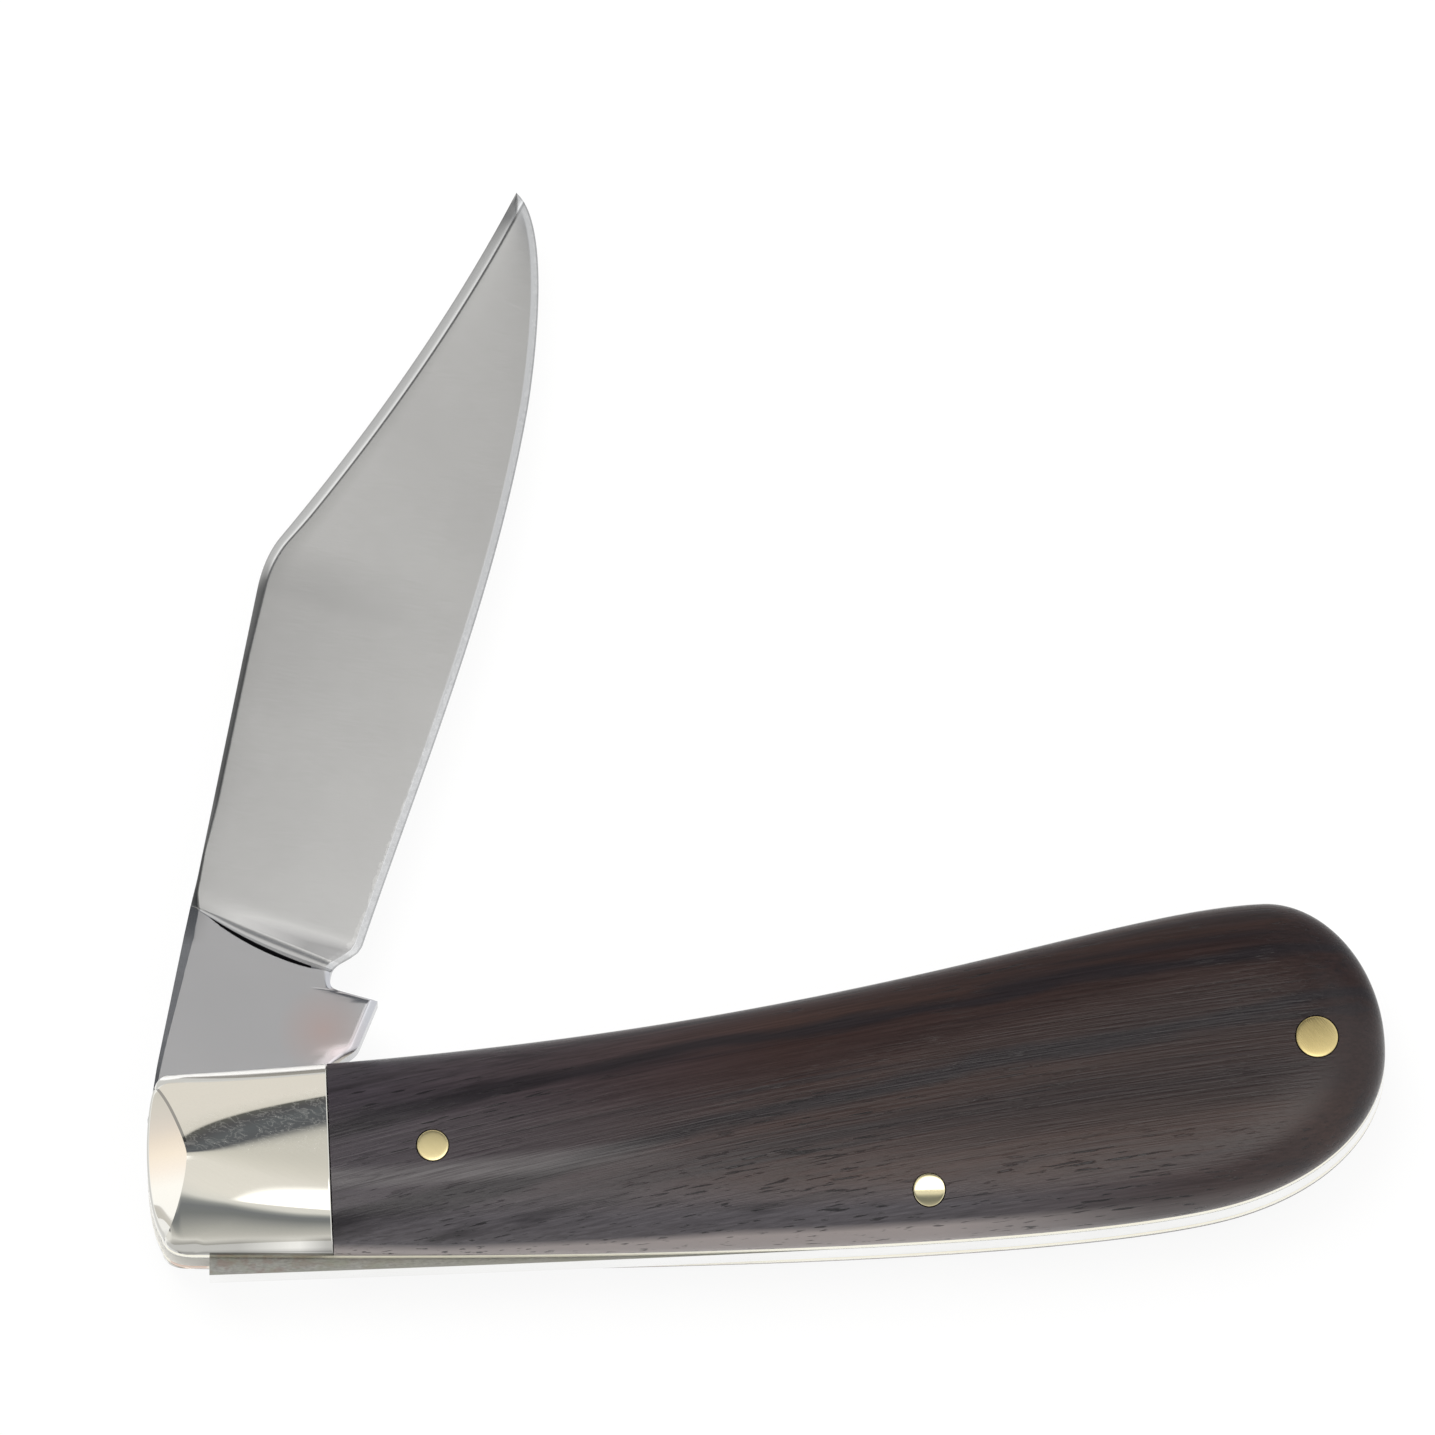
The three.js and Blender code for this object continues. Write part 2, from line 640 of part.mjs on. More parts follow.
// The nail nick is the mark of a large thin disc with a tapered rim
function nickCutter() {
  const radius = (NICK_LENGTH ** 2 / 4 + NICK_DEPTH ** 2) / (2 * NICK_DEPTH);
  const geometry = new THREE.CylinderGeometry(radius, radius - NICK_DEPTH, NICK_HEIGHT, 4 * PIN_SIDES);
  const face = blend(spineHalf(NICK_X), SHOULDER_HALF, NICK_BELOW_SPINE / (spineY - BELLY_Y));
  const y = spineY - NICK_BELOW_SPINE - NICK_HEIGHT / 2;
  geometry.translate(NICK_X, y, NICK_DEPTH - face - radius);
  return toSolid(geometry);
}

function makeBlade() {
  const hole = pin(0, 0, PIVOT_PIN_RADIUS + PIVOT_FIT, -CROWN, CROWN);
  return groundBlade().add(makeTang()).subtract(nickCutter()).subtract(hole);
}

const liner = makeLiner();
const bolster = makeBolster();
const scale = makeScale();

const handle = new THREE.Group();
for (const [side, place] of [['front', (solid) => solid], ['back', mirrored]]) {
  handle.add(part(`${side}_liner`, place(liner), brass));
  handle.add(part(`${side}_bolster`, place(bolster), nickelSilver));
  handle.add(part(`${side}_scale`, place(scale), rosewood));
  handle.add(part(`${side}_scale_pin`, place(makeShortPin(pins.scale)), brass));
  handle.add(part(`${side}_bolster_rivet_1`, place(makeShortPin(pins.rivet_1)), nickelSilver));
  handle.add(part(`${side}_bolster_rivet_2`, place(makeShortPin(pins.rivet_2)), nickelSilver));
}
handle.add(part('pivot_pin', makeThroughPin(pins.pivot), nickelSilver));
handle.add(part('center_spring_pin', makeThroughPin(pins.center), brass));
handle.add(part('end_spring_pin', makeThroughPin(pins.end), brass));

const backspring = part('backspring', makeSpring(), springSteel);

const blade = part('blade', makeBlade(), steel);
blade.rotation.z = THREE.MathUtils.degToRad(REST_ANGLE);

const knife = new THREE.Group();
knife.add(handle, backspring, blade);
knife.position.z = MIDDLE_Z;

export default knife;
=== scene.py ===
# Folding pocket knife: the looks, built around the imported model.
# Sizes are in millimetres, measured from the middle plane; Skin.build turns them into metres.
import math

import bmesh
import bpy
import numpy as np
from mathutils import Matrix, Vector
from mathutils.geometry import tessellate_polygon


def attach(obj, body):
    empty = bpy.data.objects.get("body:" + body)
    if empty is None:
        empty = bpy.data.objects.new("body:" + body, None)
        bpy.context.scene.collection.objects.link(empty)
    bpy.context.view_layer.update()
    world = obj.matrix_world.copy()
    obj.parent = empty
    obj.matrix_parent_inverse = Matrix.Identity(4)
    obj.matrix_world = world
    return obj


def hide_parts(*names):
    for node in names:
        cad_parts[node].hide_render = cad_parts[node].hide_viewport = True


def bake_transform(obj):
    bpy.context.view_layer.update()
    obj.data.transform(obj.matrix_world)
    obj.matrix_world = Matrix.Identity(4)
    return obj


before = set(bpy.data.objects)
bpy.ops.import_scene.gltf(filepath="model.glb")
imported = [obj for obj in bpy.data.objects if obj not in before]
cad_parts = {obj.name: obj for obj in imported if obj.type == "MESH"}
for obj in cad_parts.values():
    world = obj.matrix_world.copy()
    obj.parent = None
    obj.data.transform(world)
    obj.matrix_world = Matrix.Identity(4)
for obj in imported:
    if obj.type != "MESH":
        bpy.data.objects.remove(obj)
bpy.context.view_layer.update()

MM = 0.001
MERGE = 0.002
CIRCLE_STEPS = 48

# Stack, from the middle plane outwards
SLOT_HALF = 1.35
LINER_TOP = 2.25
COVER_THICKNESS = 3.75
CROWN = LINER_TOP + COVER_THICKNESS
MIDDLE_Z = CROWN
SPRING_HALF = 1.3
BLADE_HALF = 1.25

# Handle outline
FRONT_X = -6.9
HEAD_X = -6.1
HEAD_TOP_Y = 6.75
HEAD_BACK_Y = -7.3
CORNER = 1.4
CREST = (78.4, 20.25)
BUTT = (87.95, 8.6)
BUTT_LOW = (75.4, -3.6)
CORE_END_X = BUTT[0] - 11.8
BOLSTER_END_X = 7.13
JOINT_TURN = math.radians(2.2)
JOINT_GAP = 0.03

# Cover section
RIDGE_POWER = 1.35
BOLSTER_POWER = 3.6
WAIST_X = 33
WAIST_POWER = 2.5
SWELL_POWER = 4.5
FACET_LENGTH = 3.06
FACET_DROP = 2.6
FACET_TURN = math.radians(5)
FACET_CROWN_RADIUS = 60
FACET_X = FRONT_X + FACET_LENGTH
CORNER_EASES = ((1.0, 0.22, -3.6, -2.2), (0.8, 0.2, 4.6, 1.6))
BORDER_ROWS = 3
RIM_RADIUS = 0.2
JOINT_RADIUS = 0.14
RIM_FLOOR = LINER_TOP + 0.02

# Pins: place, radius
PIVOT_PIN = (0, 0, 1.6)
CENTER_PIN = (53, -2.96, 1.2)
END_PIN = (82.7, 9, 1.6)
SCALE_PIN = (15, 0.4, 1.2)
RIVETS = [(3.6, 3.9, 0.8), (3.6, -3.9, 0.8)]
PIN_FIT = 0.05
PIVOT_FIT = 0.04
WOOD_FIT = 0.09

# Backspring
SPRING_SEAT = 4.3
KICK_SEAT_RISE = 0.28
KICK_SEAT_X = 16.35
KICK_SEAT_LENGTH = 4.3
SPRING_NOSE_X = -2.1
SPRING_REACH = 46
SPRING_BEND = 1.6
SPRING_BOSS_MARGIN = 1.7
SPRING_END_Y = 11.6
CONTACT_GAP = 0.04

# Blade, in its own axes: x to the tip, y to the spine
REST_ANGLE = math.radians(78.8)
BLADE_GRAIN = math.pi / 2 - REST_ANGLE
SHUT_ANGLE = math.radians(14.8)
CAM_RADIUS = 5.52
OPEN_STOP_GAP = 0.05
SPINE_PROUD = 0.08
TANG_FLAT_END = 4
TANG_RELIEF = 1.7
CHOIL = (16.3, -4.05)
CHOIL_CORNER = 0.85
KICK_LEAN = 0.24
PLUNGE_SPINE_X = 19.45
PLUNGE_EDGE_X = 17.4
PLUNGE_REACH = (0.05, 1.05, 1.1)
GROOVE_WIDTH = 0.36
GROOVE_DEPTH = 0.2
GROOVE_ENDS = (0.13, 0.93)
HEEL = (19.15, -5.98)
BELLY = (63.2, -10.13)
CLIP_X = 45
CLIP_TURN = 4.5
CLIP_TURN_PULL = 2.7
CLIP_FALL = 0.93
TIP = (79.87, -5.94)
SPINE_HALF = 1.2
CLIP_HALF = 1.0
TIP_HALF = 0.45
SHOULDER_HALF = 0.2
EDGE_HALF = 0.01
BEVEL_WIDTH = 0.6
CREASE_WIDTH = 0.13
CROWN_SLOPE = 0.47
CROWN_WIDTHS = (
    (0, 0.25), (6, 0.26), (8.5, 0.32), (13.5, 0.54), (17.5, 0.73), (19, 0.7), (20.6, 0.24),
    (24, 0.16), (28, 0.36), (40, 0.42), (45, 0.6),
)
TANG_HUMP = 0.13
SWEDGE_WIDTH = 0.9
SWEDGE_SHARE = 0.35
NICK = (38.5, 1.9, 13, 1.5, 0.6)

# Camera: 14 degrees off the vertical, framing the photograph's width
TARGET = Vector((36.80, 35.63, MIDDLE_Z)) * MM
VIEW_WIDTH = 110.13 * MM
CAMERA_DISTANCE = 5.0
CAMERA_TILT = math.radians(14)
SENSOR = 36


def bezier(points, steps):
    """Points of a cubic curve, as an array."""
    a, b, c, d = (np.array(p, float) for p in points)
    t = np.linspace(0, 1, steps + 1)[:, None]
    return (1 - t) ** 3 * a + 3 * (1 - t) ** 2 * t * b + 3 * (1 - t) * t * t * c + t ** 3 * d


def arch(points, steps):
    """Points of a quadratic curve, as an array."""
    a, b, c = (np.array(p, float) for p in points)
    t = np.linspace(0, 1, steps + 1)[:, None]
    return (1 - t) ** 2 * a + 2 * (1 - t) * t * b + t * t * c


def pulled(start, pull_out, end, pull_in, steps):
    """A cubic curve whose handles are given from its two ends."""
    start, end = np.array(start, float), np.array(end, float)
    return bezier([start, start + pull_out, end + pull_in, end], steps)


def smooth(share):
    share = np.clip(share, 0, 1)
    return share * share * (3 - 2 * share)


def mix(a, b, share):
    return a + (b - a) * np.clip(share, 0, 1)


def turned(x, y, angle):
    """A place in the plan, swung about the pivot."""
    cos, sin = math.cos(angle), math.sin(angle)
    return x * cos - y * sin, x * sin + y * cos


def distance_to(points, line):
    """Distance from each point to a line."""
    a, ab = line[:-1], np.diff(line, axis=0)
    ap = points[:, None, :] - a[None]
    share = np.clip((ap * ab).sum(-1) / np.maximum((ab ** 2).sum(-1), 1e-12), 0, 1)
    return np.linalg.norm(ap - share[..., None] * ab, axis=-1).min(1)


TOP_EDGE = pulled((HEAD_X, HEAD_TOP_Y), (50.2, 2.6), CREST, (-13, -0.65), 240)
BUTT_UPPER = pulled(CREST, (4.8, 0.35), BUTT, (0, 6.8), 60)
BUTT_LOWER = pulled(BUTT, (0, -5.4), BUTT_LOW, (8, 2), 80)
BACK_EDGE = pulled(BUTT_LOW, (-8, -2), (HEAD_X, HEAD_BACK_Y), (50.2, -0.6), 240)
UPPER = np.vstack([TOP_EDGE, BUTT_UPPER[1:]])
LOWER = np.vstack([BUTT_LOWER, BACK_EDGE[1:]])[::-1]


def upper_y(x):
    return np.interp(x, UPPER[:, 0], UPPER[:, 1])


def lower_y(x):
    return np.interp(x, LOWER[:, 0], LOWER[:, 1])


def front_line():
    """The bulging front with its two corners, from the top edge to the back edge."""
    r = CORNER
    top = float(upper_y(HEAD_X + r))
    back = float(lower_y(HEAD_X + 2 * r))
    bulge = FRONT_X - (HEAD_X - FRONT_X) / 3
    upper_end = (HEAD_X - r / 6, top - r)
    lower_end = (HEAD_X + r / 4, back + r)
    corner = arch([(HEAD_X + r, top), (HEAD_X, top), upper_end], 10)
    face = bezier([upper_end, (bulge, top / 2), (bulge, back / 2), lower_end], 60)
    low = arch([lower_end, (HEAD_X + r / 2, back), (HEAD_X + 2 * r, back)], 14)
    return np.vstack([corner, face[1:], low[1:]])


FRONT = front_line()


def front_x(y):
    return np.interp(y, FRONT[::-1, 1], FRONT[::-1, 0])


def plan_outline():
    """The closed plan of liners and covers."""
    upper = UPPER[UPPER[:, 0] > FRONT[0, 0] + 0.05]
    lower = LOWER[LOWER[:, 0] > FRONT[-1, 0] + 0.05]
    return np.vstack([FRONT[::-1], upper, lower[::-1][1:]])


def section_power(x):
    """The power of the cover's superellipse section at x."""
    stops = [
        (BOLSTER_END_X, WAIST_X, BOLSTER_POWER, WAIST_POWER),
        (WAIST_X, CORE_END_X, WAIST_POWER, SWELL_POWER),
    ]
    x = np.asarray(x, float)
    along = x - FACET_X
    along = np.where(along > 0, along, np.where(along > -1, along + along * along / 2, -0.5))
    power = RIDGE_POWER + (BOLSTER_POWER - RIDGE_POWER) * along / (BOLSTER_END_X - FACET_X)
    for x0, x1, from_power, to_power in stops:
        power = np.where(x > x0, mix(from_power, to_power, smooth((x - x0) / (x1 - x0))), power)
    return power


def cover_rise(share, power):
    return LINER_TOP + COVER_THICKNESS * np.sqrt(np.maximum(0, 1 - np.abs(share) ** power))


def middle_y(x):
    return (upper_y(x) + lower_y(x)) / 2


def half_width(x):
    return (upper_y(x) - lower_y(x)) / 2


CORE_END = np.array([CORE_END_X, middle_y(CORE_END_X)])
RIM = np.vstack([
    [[CORE_END_X, upper_y(CORE_END_X)]],
    UPPER[UPPER[:, 0] > CORE_END_X + 0.05],
    LOWER[::-1][LOWER[::-1][:, 0] > CORE_END_X + 0.05][1:],
    [[CORE_END_X, lower_y(CORE_END_X)]],
])


def cover_z(x, y):
    """Height of the cover over a point of the plan."""
    x, y = np.asarray(x, float), np.asarray(y, float)
    share = (y - middle_y(x)) / half_width(x)
    out = np.stack([x, y], -1) - CORE_END
    rim = RIM - CORE_END
    angle = np.arctan2(rim[:, 1], rim[:, 0])[::-1]
    reach = np.linalg.norm(rim, axis=1)[::-1]
    rim_reach = np.interp(np.arctan2(out[..., 1], out[..., 0]), angle, reach)
    share = np.where(x > CORE_END_X, np.linalg.norm(out, axis=-1) / rim_reach, share)
    return cover_rise(np.minimum(np.abs(share), 1), section_power(x))


def spread(steps):
    """Shares from -1 to 1 across the cover, closer together at its edges."""
    return np.sin(np.linspace(-math.pi / 2, math.pi / 2, steps + 1))


class Skin:
    """Points and faces of one piece, gathered from grids, walls and flat caps."""

    def __init__(self):
        self.points = []
        self.faces = []
        self.slots = []

    def add(self, points, faces, slot=0):
        first = len(self.points)
        self.points.extend(np.asarray(points, float).reshape(-1, 3).tolist())
        self.faces.extend([[first + i for i in face] for face in faces])
        self.slots.extend([slot] * len(faces))

    def grid(self, points, slot=0):
        rows, cols = points.shape[:2]
        starts = [i * cols + j for i in range(rows - 1) for j in range(cols - 1)]
        self.add(points, [[a, a + 1, a + cols + 1, a + cols] for a in starts], slot)

    def wall(self, lower, upper, closed=True, slot=0):
        """A band of faces between two lines with the same number of points."""
        rows = np.stack([lower, upper]).astype(float)
        self.grid(closed_rows(rows) if closed else rows, slot)

    def cap(self, loops, z):
        """A flat face at height z; the loops after the first are its holes."""
        flat = [[Vector((p[0], p[1], 0)) for p in loop] for loop in loops]
        points = [(p.x, p.y, z) for loop in flat for p in loop]
        self.add(points, [list(face) for face in tessellate_polygon(flat)])

    def plate(self, loops, low, high, wall_slot=0):
        for z in (low, high):
            self.cap(loops, z)
        for loop in loops:
            self.wall(at_height(loop, low), at_height(loop, high), slot=wall_slot)

    def build(self, name, finishes, side=1, turn=0.0, bevel=0, sharp=32):
        """Makes the object; side -1 mirrors it to the back, turn swings it about the pivot."""
        points = np.array(self.points)
        x, y = turned(points[:, 0], points[:, 1], turn)
        points = np.stack([x, y, points[:, 2] * side + MIDDLE_Z], 1) * MM
        data = bpy.data.meshes.new(name)
        data.from_pydata(points.tolist(), [], self.faces)
        for finish in finishes:
            data.materials.append(finish.material)
        data.polygons.foreach_set("material_index", self.slots)
        bm = bmesh.new()
        bm.from_mesh(data)
        bmesh.ops.remove_doubles(bm, verts=bm.verts, dist=MERGE * MM)
        bmesh.ops.dissolve_degenerate(bm, edges=bm.edges, dist=MERGE * MM / 10)
        bmesh.ops.recalc_face_normals(bm, faces=bm.faces)
        if bevel:
            limit = math.radians(sharp)
            corners = [e for e in bm.edges if e.is_manifold and e.calc_face_angle() > limit]
            bmesh.ops.bevel(
                bm, geom=corners, offset=bevel * MM, segments=3, profile=0.5,
                affect="EDGES", clamp_overlap=True,
            )
        bmesh.ops.dissolve_degenerate(bm, edges=bm.edges, dist=MERGE * MM / 10)
        bm.to_mesh(data)
        bm.free()
        obj = add_object(name, data)
        soften(obj, sharp)
        return obj


def add_object(name, data):
    obj = bpy.data.objects.new(name, data)
    bpy.context.scene.collection.objects.link(obj)
    return obj


def soften(obj, sharp):
    obj.data.polygons.foreach_set("use_smooth", [True] * len(obj.data.polygons))
    obj.data.set_sharp_from_angle(angle=math.radians(sharp))


def at_height(line, z):
    line = np.asarray(line, float)[:, :2]
    return np.column_stack([line, np.full(len(line), z)])


def circle(x, y, radius):
    turns = np.linspace(0, 2 * math.pi, CIRCLE_STEPS, endpoint=False)
    return np.column_stack([x + radius * np.cos(turns), y + radius * np.sin(turns)])


def closed_rows(rows):
    rows = np.array(rows)
    return np.concatenate([rows, rows[:, :1]], axis=1)


def cut(obj, cutters, sharp=32):
    """Takes the cutters out of the object, for good."""
    for cutter in cutters:
        modifier = obj.modifiers.new("cut", "BOOLEAN")
        modifier.operation = "DIFFERENCE"
        modifier.solver = "EXACT"
        modifier.object = cutter
    graph = bpy.context.evaluated_depsgraph_get()
    data = bpy.data.meshes.new_from_object(obj.evaluated_get(graph), depsgraph=graph)
    obj.modifiers.clear()
    obj.data = data
    for cutter in cutters:
        bpy.data.objects.remove(cutter)
    soften(obj, sharp)


# Materials: a small kit for node trees
class Value:
    """An output of a node. Sums and products of values add the nodes that work them out."""

    def __init__(self, node, output=0):
        self.tree = node.id_data
        self.socket = node.outputs[output]

    def __add__(self, other):
        return calc("ADD", self, other)

    def __sub__(self, other):
        return calc("SUBTRACT", self, other)

    def __rsub__(self, other):
        return calc("SUBTRACT", other, self)

    def __mul__(self, other):
        return calc("MULTIPLY", self, other)

    def __abs__(self):
        return calc("ABSOLUTE", self)

    def span(self, from_low, from_high, to_low=0.0, to_high=1.0):
        """The value carried over from one range to another, and held inside it."""
        ends = {"i1": from_low, "i2": from_high, "i3": to_low, "i4": to_high}
        return Value(add_node(self.tree, "MapRange", i0=self, **ends))

    def axes(self):
        node = add_node(self.tree, "SeparateXYZ", i0=self)
        return [Value(node, k) for k in range(3)]

    def scaled(self, scale, shift):
        """Coordinates in units per millimetre."""
        factors = tuple(s / MM for s in scale)
        return Value(add_node(self.tree, "Mapping", i0=self, Location=shift, Scale=factors))


class Finish:
    """A material. What feeds the inputs of its shader is set and looked up by name."""

    def __init__(self, name):
        self.material = bpy.data.materials.new(name)
        self.material.use_nodes = True
        self.tree = self.material.node_tree
        self.shader = self.tree.nodes["Principled BSDF"]
        self.fed = {}

    def __getitem__(self, name):
        return self.fed[name]

    def __setitem__(self, name, value):
        self.fed[name] = value
        feed(self.shader.inputs[name], value)

    def axes(self, source):
        return coordinates(self.tree, source).axes()

    def place(self, scale, turn=0.0, shift=(0, 0, 0)):
        """Coordinates of the piece, turned about z and scaled."""
        where = coordinates(self.tree, "Object")
        turned_node = add_node(self.tree, "Mapping", i0=where, Rotation=(0, 0, turn))
        return Value(turned_node).scaled(scale, shift)

    def stored(self, name):
        """A value kept on the points of the mesh."""
        return Value(add_node(self.tree, "Attribute", {"attribute_name": name}), "Fac")

    def bump(self, height, distance):
        inputs = {"Strength": 1.0, "Distance": distance * MM, "Height": height}
        self["Normal"] = Value(add_node(self.tree, "Bump", **inputs))


def feed(socket, value):
    if isinstance(value, Value):
        value.tree.links.new(value.socket, socket)
    else:
        socket.default_value = value


def add_node(tree, kind, settings=None, **inputs):
    """A node. Its inputs are given by name, or by number as in i0, as numbers or values."""
    node = tree.nodes.new("ShaderNode" + kind)
    for key, value in (settings or {}).items():
        setattr(node, key, value)
    for key, value in inputs.items():
        feed(node.inputs[int(key[1:]) if key[1:].isdigit() else key], value)
    return node


def calc(operation, a, b=0.0):
    tree = (a if isinstance(a, Value) else b).tree
    return Value(add_node(tree, "Math", {"operation": operation}, i0=a, i1=b))


def coordinates(tree, source):
    return Value(add_node(tree, "TexCoord"), source)


def noise(where, detail, roughness=0.5, distortion=0.0):
    inputs = {"Detail": detail, "Roughness": roughness, "Distortion": distortion}
    return Value(add_node(where.tree, "TexNoise", Vector=where, Scale=1.0, **inputs))


def ramp(value, stops):
    """A colour that runs through stops, each a position with a colour or a grey."""
    node = add_node(value.tree, "ValToRGB", i0=value)
    elements = node.color_ramp.elements
    while len(elements) < len(stops):
        elements.new(0.5)
    for element, (position, color) in zip(elements, stops):
        element.position = position
        element.color = (*(color if isinstance(color, tuple) else (color,) * 3), 1)
    return Value(node, "Color")


def blend(share, a, b, mode="MIX"):
    """A colour that goes from a to b with the share."""
    a, b = (color if isinstance(color, Value) else (*color, 1) for color in (a, b))
    tree = (share if isinstance(share, Value) else a).tree
    settings = {"data_type": "RGBA", "blend_type": mode}
    return Value(add_node(tree, "Mix", settings, i0=share, i6=a, i7=b), 2)


def tone(color, factor):
    """Scales a colour by a factor that varies over the surface."""
    grey = Value(add_node(factor.tree, "CombineColor", i0=factor, i1=factor, i2=factor))
    return blend(1.0, color, grey, "MULTIPLY")


def metal(name, color, tint, roughness, turn, scratch=0.0006, swing=0.08, base_swing=0.12):
    """A worked metal: uneven tint, roughness and fine lines along one direction."""
    finish = Finish(name)
    cloud = noise(finish.place((0.12, 0.12, 0.12)), 3)
    lines = noise(finish.place((0.35, 14, 14), turn), 4, 0.6)
    tinted = blend(cloud.span(0.35, 0.65), color, tint)
    finish["Base Color"] = tone(tinted, lines.span(0.3, 0.7, 1 - base_swing, 1.0))
    finish["Roughness"] = lines.span(0.3, 0.7, roughness - swing / 2, roughness + swing / 2)
    finish["Metallic"] = 1.0
    finish.bump(lines, scratch)
    return finish


def add_blade_lines(finish):
    """The swedge with painted highlight bands, brighter inwards, the back's painted dark
    reflection, the ragged honed edge, and a painted dark outline at the edge.
    """
    crown_share, from_edge, along = map(finish.stored, ("crown_share", "from_edge", "along"))
    across = crown_share.span(0, 1.25)
    # Painted dark reflection across the crowned back.
    back = ramp(across, [(0.0, 0.8), (0.2, 0.62), (0.6, 0.5), (0.8, 0.55), (0.9, 1.0)])
    # Painted highlight bands on the swedge, brighter inwards, with a painted dark line where it
    # meets the face.
    swedge = ramp(across, [
        (0.0, 0.72), (0.08, 0.92), (0.25, 1.0), (0.45, 1.06), (0.56, 1.3), (0.62, 1.6),
        (0.69, 1.6), (0.73, 0.82), (0.8, 0.66), (0.86, 0.8), (0.9, 1.0),
    ])
    strip = blend(along.span(CLIP_X + 0.8, CLIP_X + 2.6), back, swedge)
    color = blend(1.0, finish["Base Color"], strip, "MULTIPLY")
    ragged = noise(finish.place((1.2, 1.2, 1.2), BLADE_GRAIN), 4, 0.7)
    reach = along.span(18, 50, 0.85, 0.3) + ragged.span(0.3, 0.7, -0.25, 0.25)
    honed = calc("LESS_THAN", from_edge, reach)
    speckle = noise(finish.place((2.5, 2.5, 2.5)), 3, 0.7)
    lit = along.span(50, 40, 1.0, 1.1) * speckle.span(0.35, 0.65, 0.94, 1.08)
    color = tone(color, Value(add_node(finish.tree, "Mix", i0=honed, i2=1.0, i3=lit)))
    # Painted dark outline along the very edge.
    finish["Base Color"] = tone(color, from_edge.span(0.10, 0.14, 0.74, 1.0))


def calm_glare(finish):
    """Takes the glare off the parts that lean to the bright strip but not sideways."""
    nx, ny, _ = finish.axes("Normal")
    shade = calc("MAXIMUM", ny.span(-0.07, -0.035, 0.45, 1.0), nx.span(0.08, 0.2))
    finish["Base Color"] = tone(finish["Base Color"], shade)


def add_painted_rim_light(finish):
    """Painted light on the bolster's rims: a painted white highlight on the upper rim with a
    painted grey line under it, painted shade on the foot and the front rim, and painted shade by
    the joint.
    """
    nx, ny, _ = finish.axes("Normal")
    x = finish.axes("Object")[0]
    # Painted shade: a grey line under the upper rim's highlight, and a dark line at the outer foot.
    line = ramp(ny.span(-1, 1), [
        (0.0, 0.8), (0.02, 0.5), (0.026, 0.75), (0.05, 1.0),
        (0.80, 1.0), (0.815, 0.66), (0.865, 0.66), (0.88, 1.0),
    ])
    color = blend(1.0, finish["Base Color"], line, "MULTIPLY")
    # Painted shade on the foot, darker towards the front and the joint.
    stops = [(0.4, 0.6), (0.70, 0.98), (0.76, 1.0), (0.91, 0.6), (1.0, 0.5)]
    foot = blend(1.0, color, ramp(x.span(-0.005, 0.008), stops), "MULTIPLY")
    color = blend(ny.span(-0.70, -0.77), color, foot)
    # Painted shade on the front rim.
    color = tone(color, nx.span(-0.74, -0.8, 1.0, 0.72))
    # Painted highlight: the upper rim is made a matt near-white.
    white = ny.span(0.74, 0.78)
    finish["Base Color"] = blend(white, color, (0.97, 0.97, 0.96))
    finish["Metallic"] = white.span(0, 1, 1.0, 0.0)


def add_wisps(finish):
    """Fine swirling rub marks on the crown, a little duller than the polish."""
    _, y, z = finish.axes("Object")
    on_crown = abs(z - MIDDLE_Z * MM).span((CROWN - 0.6) * MM, (CROWN - 0.4) * MM)
    upper = on_crown * y.span(-0.5 * MM, 0.5 * MM)
    swirl = noise(finish.place((1.0, 2.2, 2.2), 0.25), 1.5, 0.5, 1.2)
    marks = abs(swirl - 0.5).span(0.05, 0.0) * upper
    finish["Roughness"] = marks.span(0, 1, 0.03, 0.08)
    finish["Metallic"] = finish["Metallic"] * marks.span(0, 1, 1.0, 0.89)


def add_blush(finish, center, radius):
    """A faint warm pink tint round a point of the piece."""
    inputs = {"i0": coordinates(finish.tree, "Object"), "i1": tuple(c * MM for c in center)}
    away = add_node(finish.tree, "VectorMath", {"operation": "DISTANCE"}, **inputs)
    near = Value(away, "Value").span(radius * MM, 0.0)
    finish["Base Color"] = blend(near, finish["Base Color"], (0.64, 0.54, 0.55))


def paint_liner_edge_light(finish):
    """Paints a liner's down-facing edge matt and pale along the front half, a painted highlight,
    and a darker copper by the spring's nose on the back liner, a painted shaded reflection.
    """
    x, _, z = finish.axes("Object")
    back = finish.axes("Normal")[1].span(-0.7, -0.85)
    # Painted highlight: the front half of the down-facing edge is made matt, so its pale colour
    # shows.
    finish["Metallic"] = 1.0 - back * (x.span(0.044, 0.036) * x.span(0.006, 0.008))
    # Painted shade: a darker copper tint on the back liner's edge by the spring's nose.
    by_nose = x.span(-0.0054, -0.0050) * x.span(-0.0020, -0.0024)
    copper = by_nose * back * z.span(0.006, 0.0055)
    finish["Base Color"] = blend(copper, finish["Base Color"], (0.62, 0.44, 0.34))


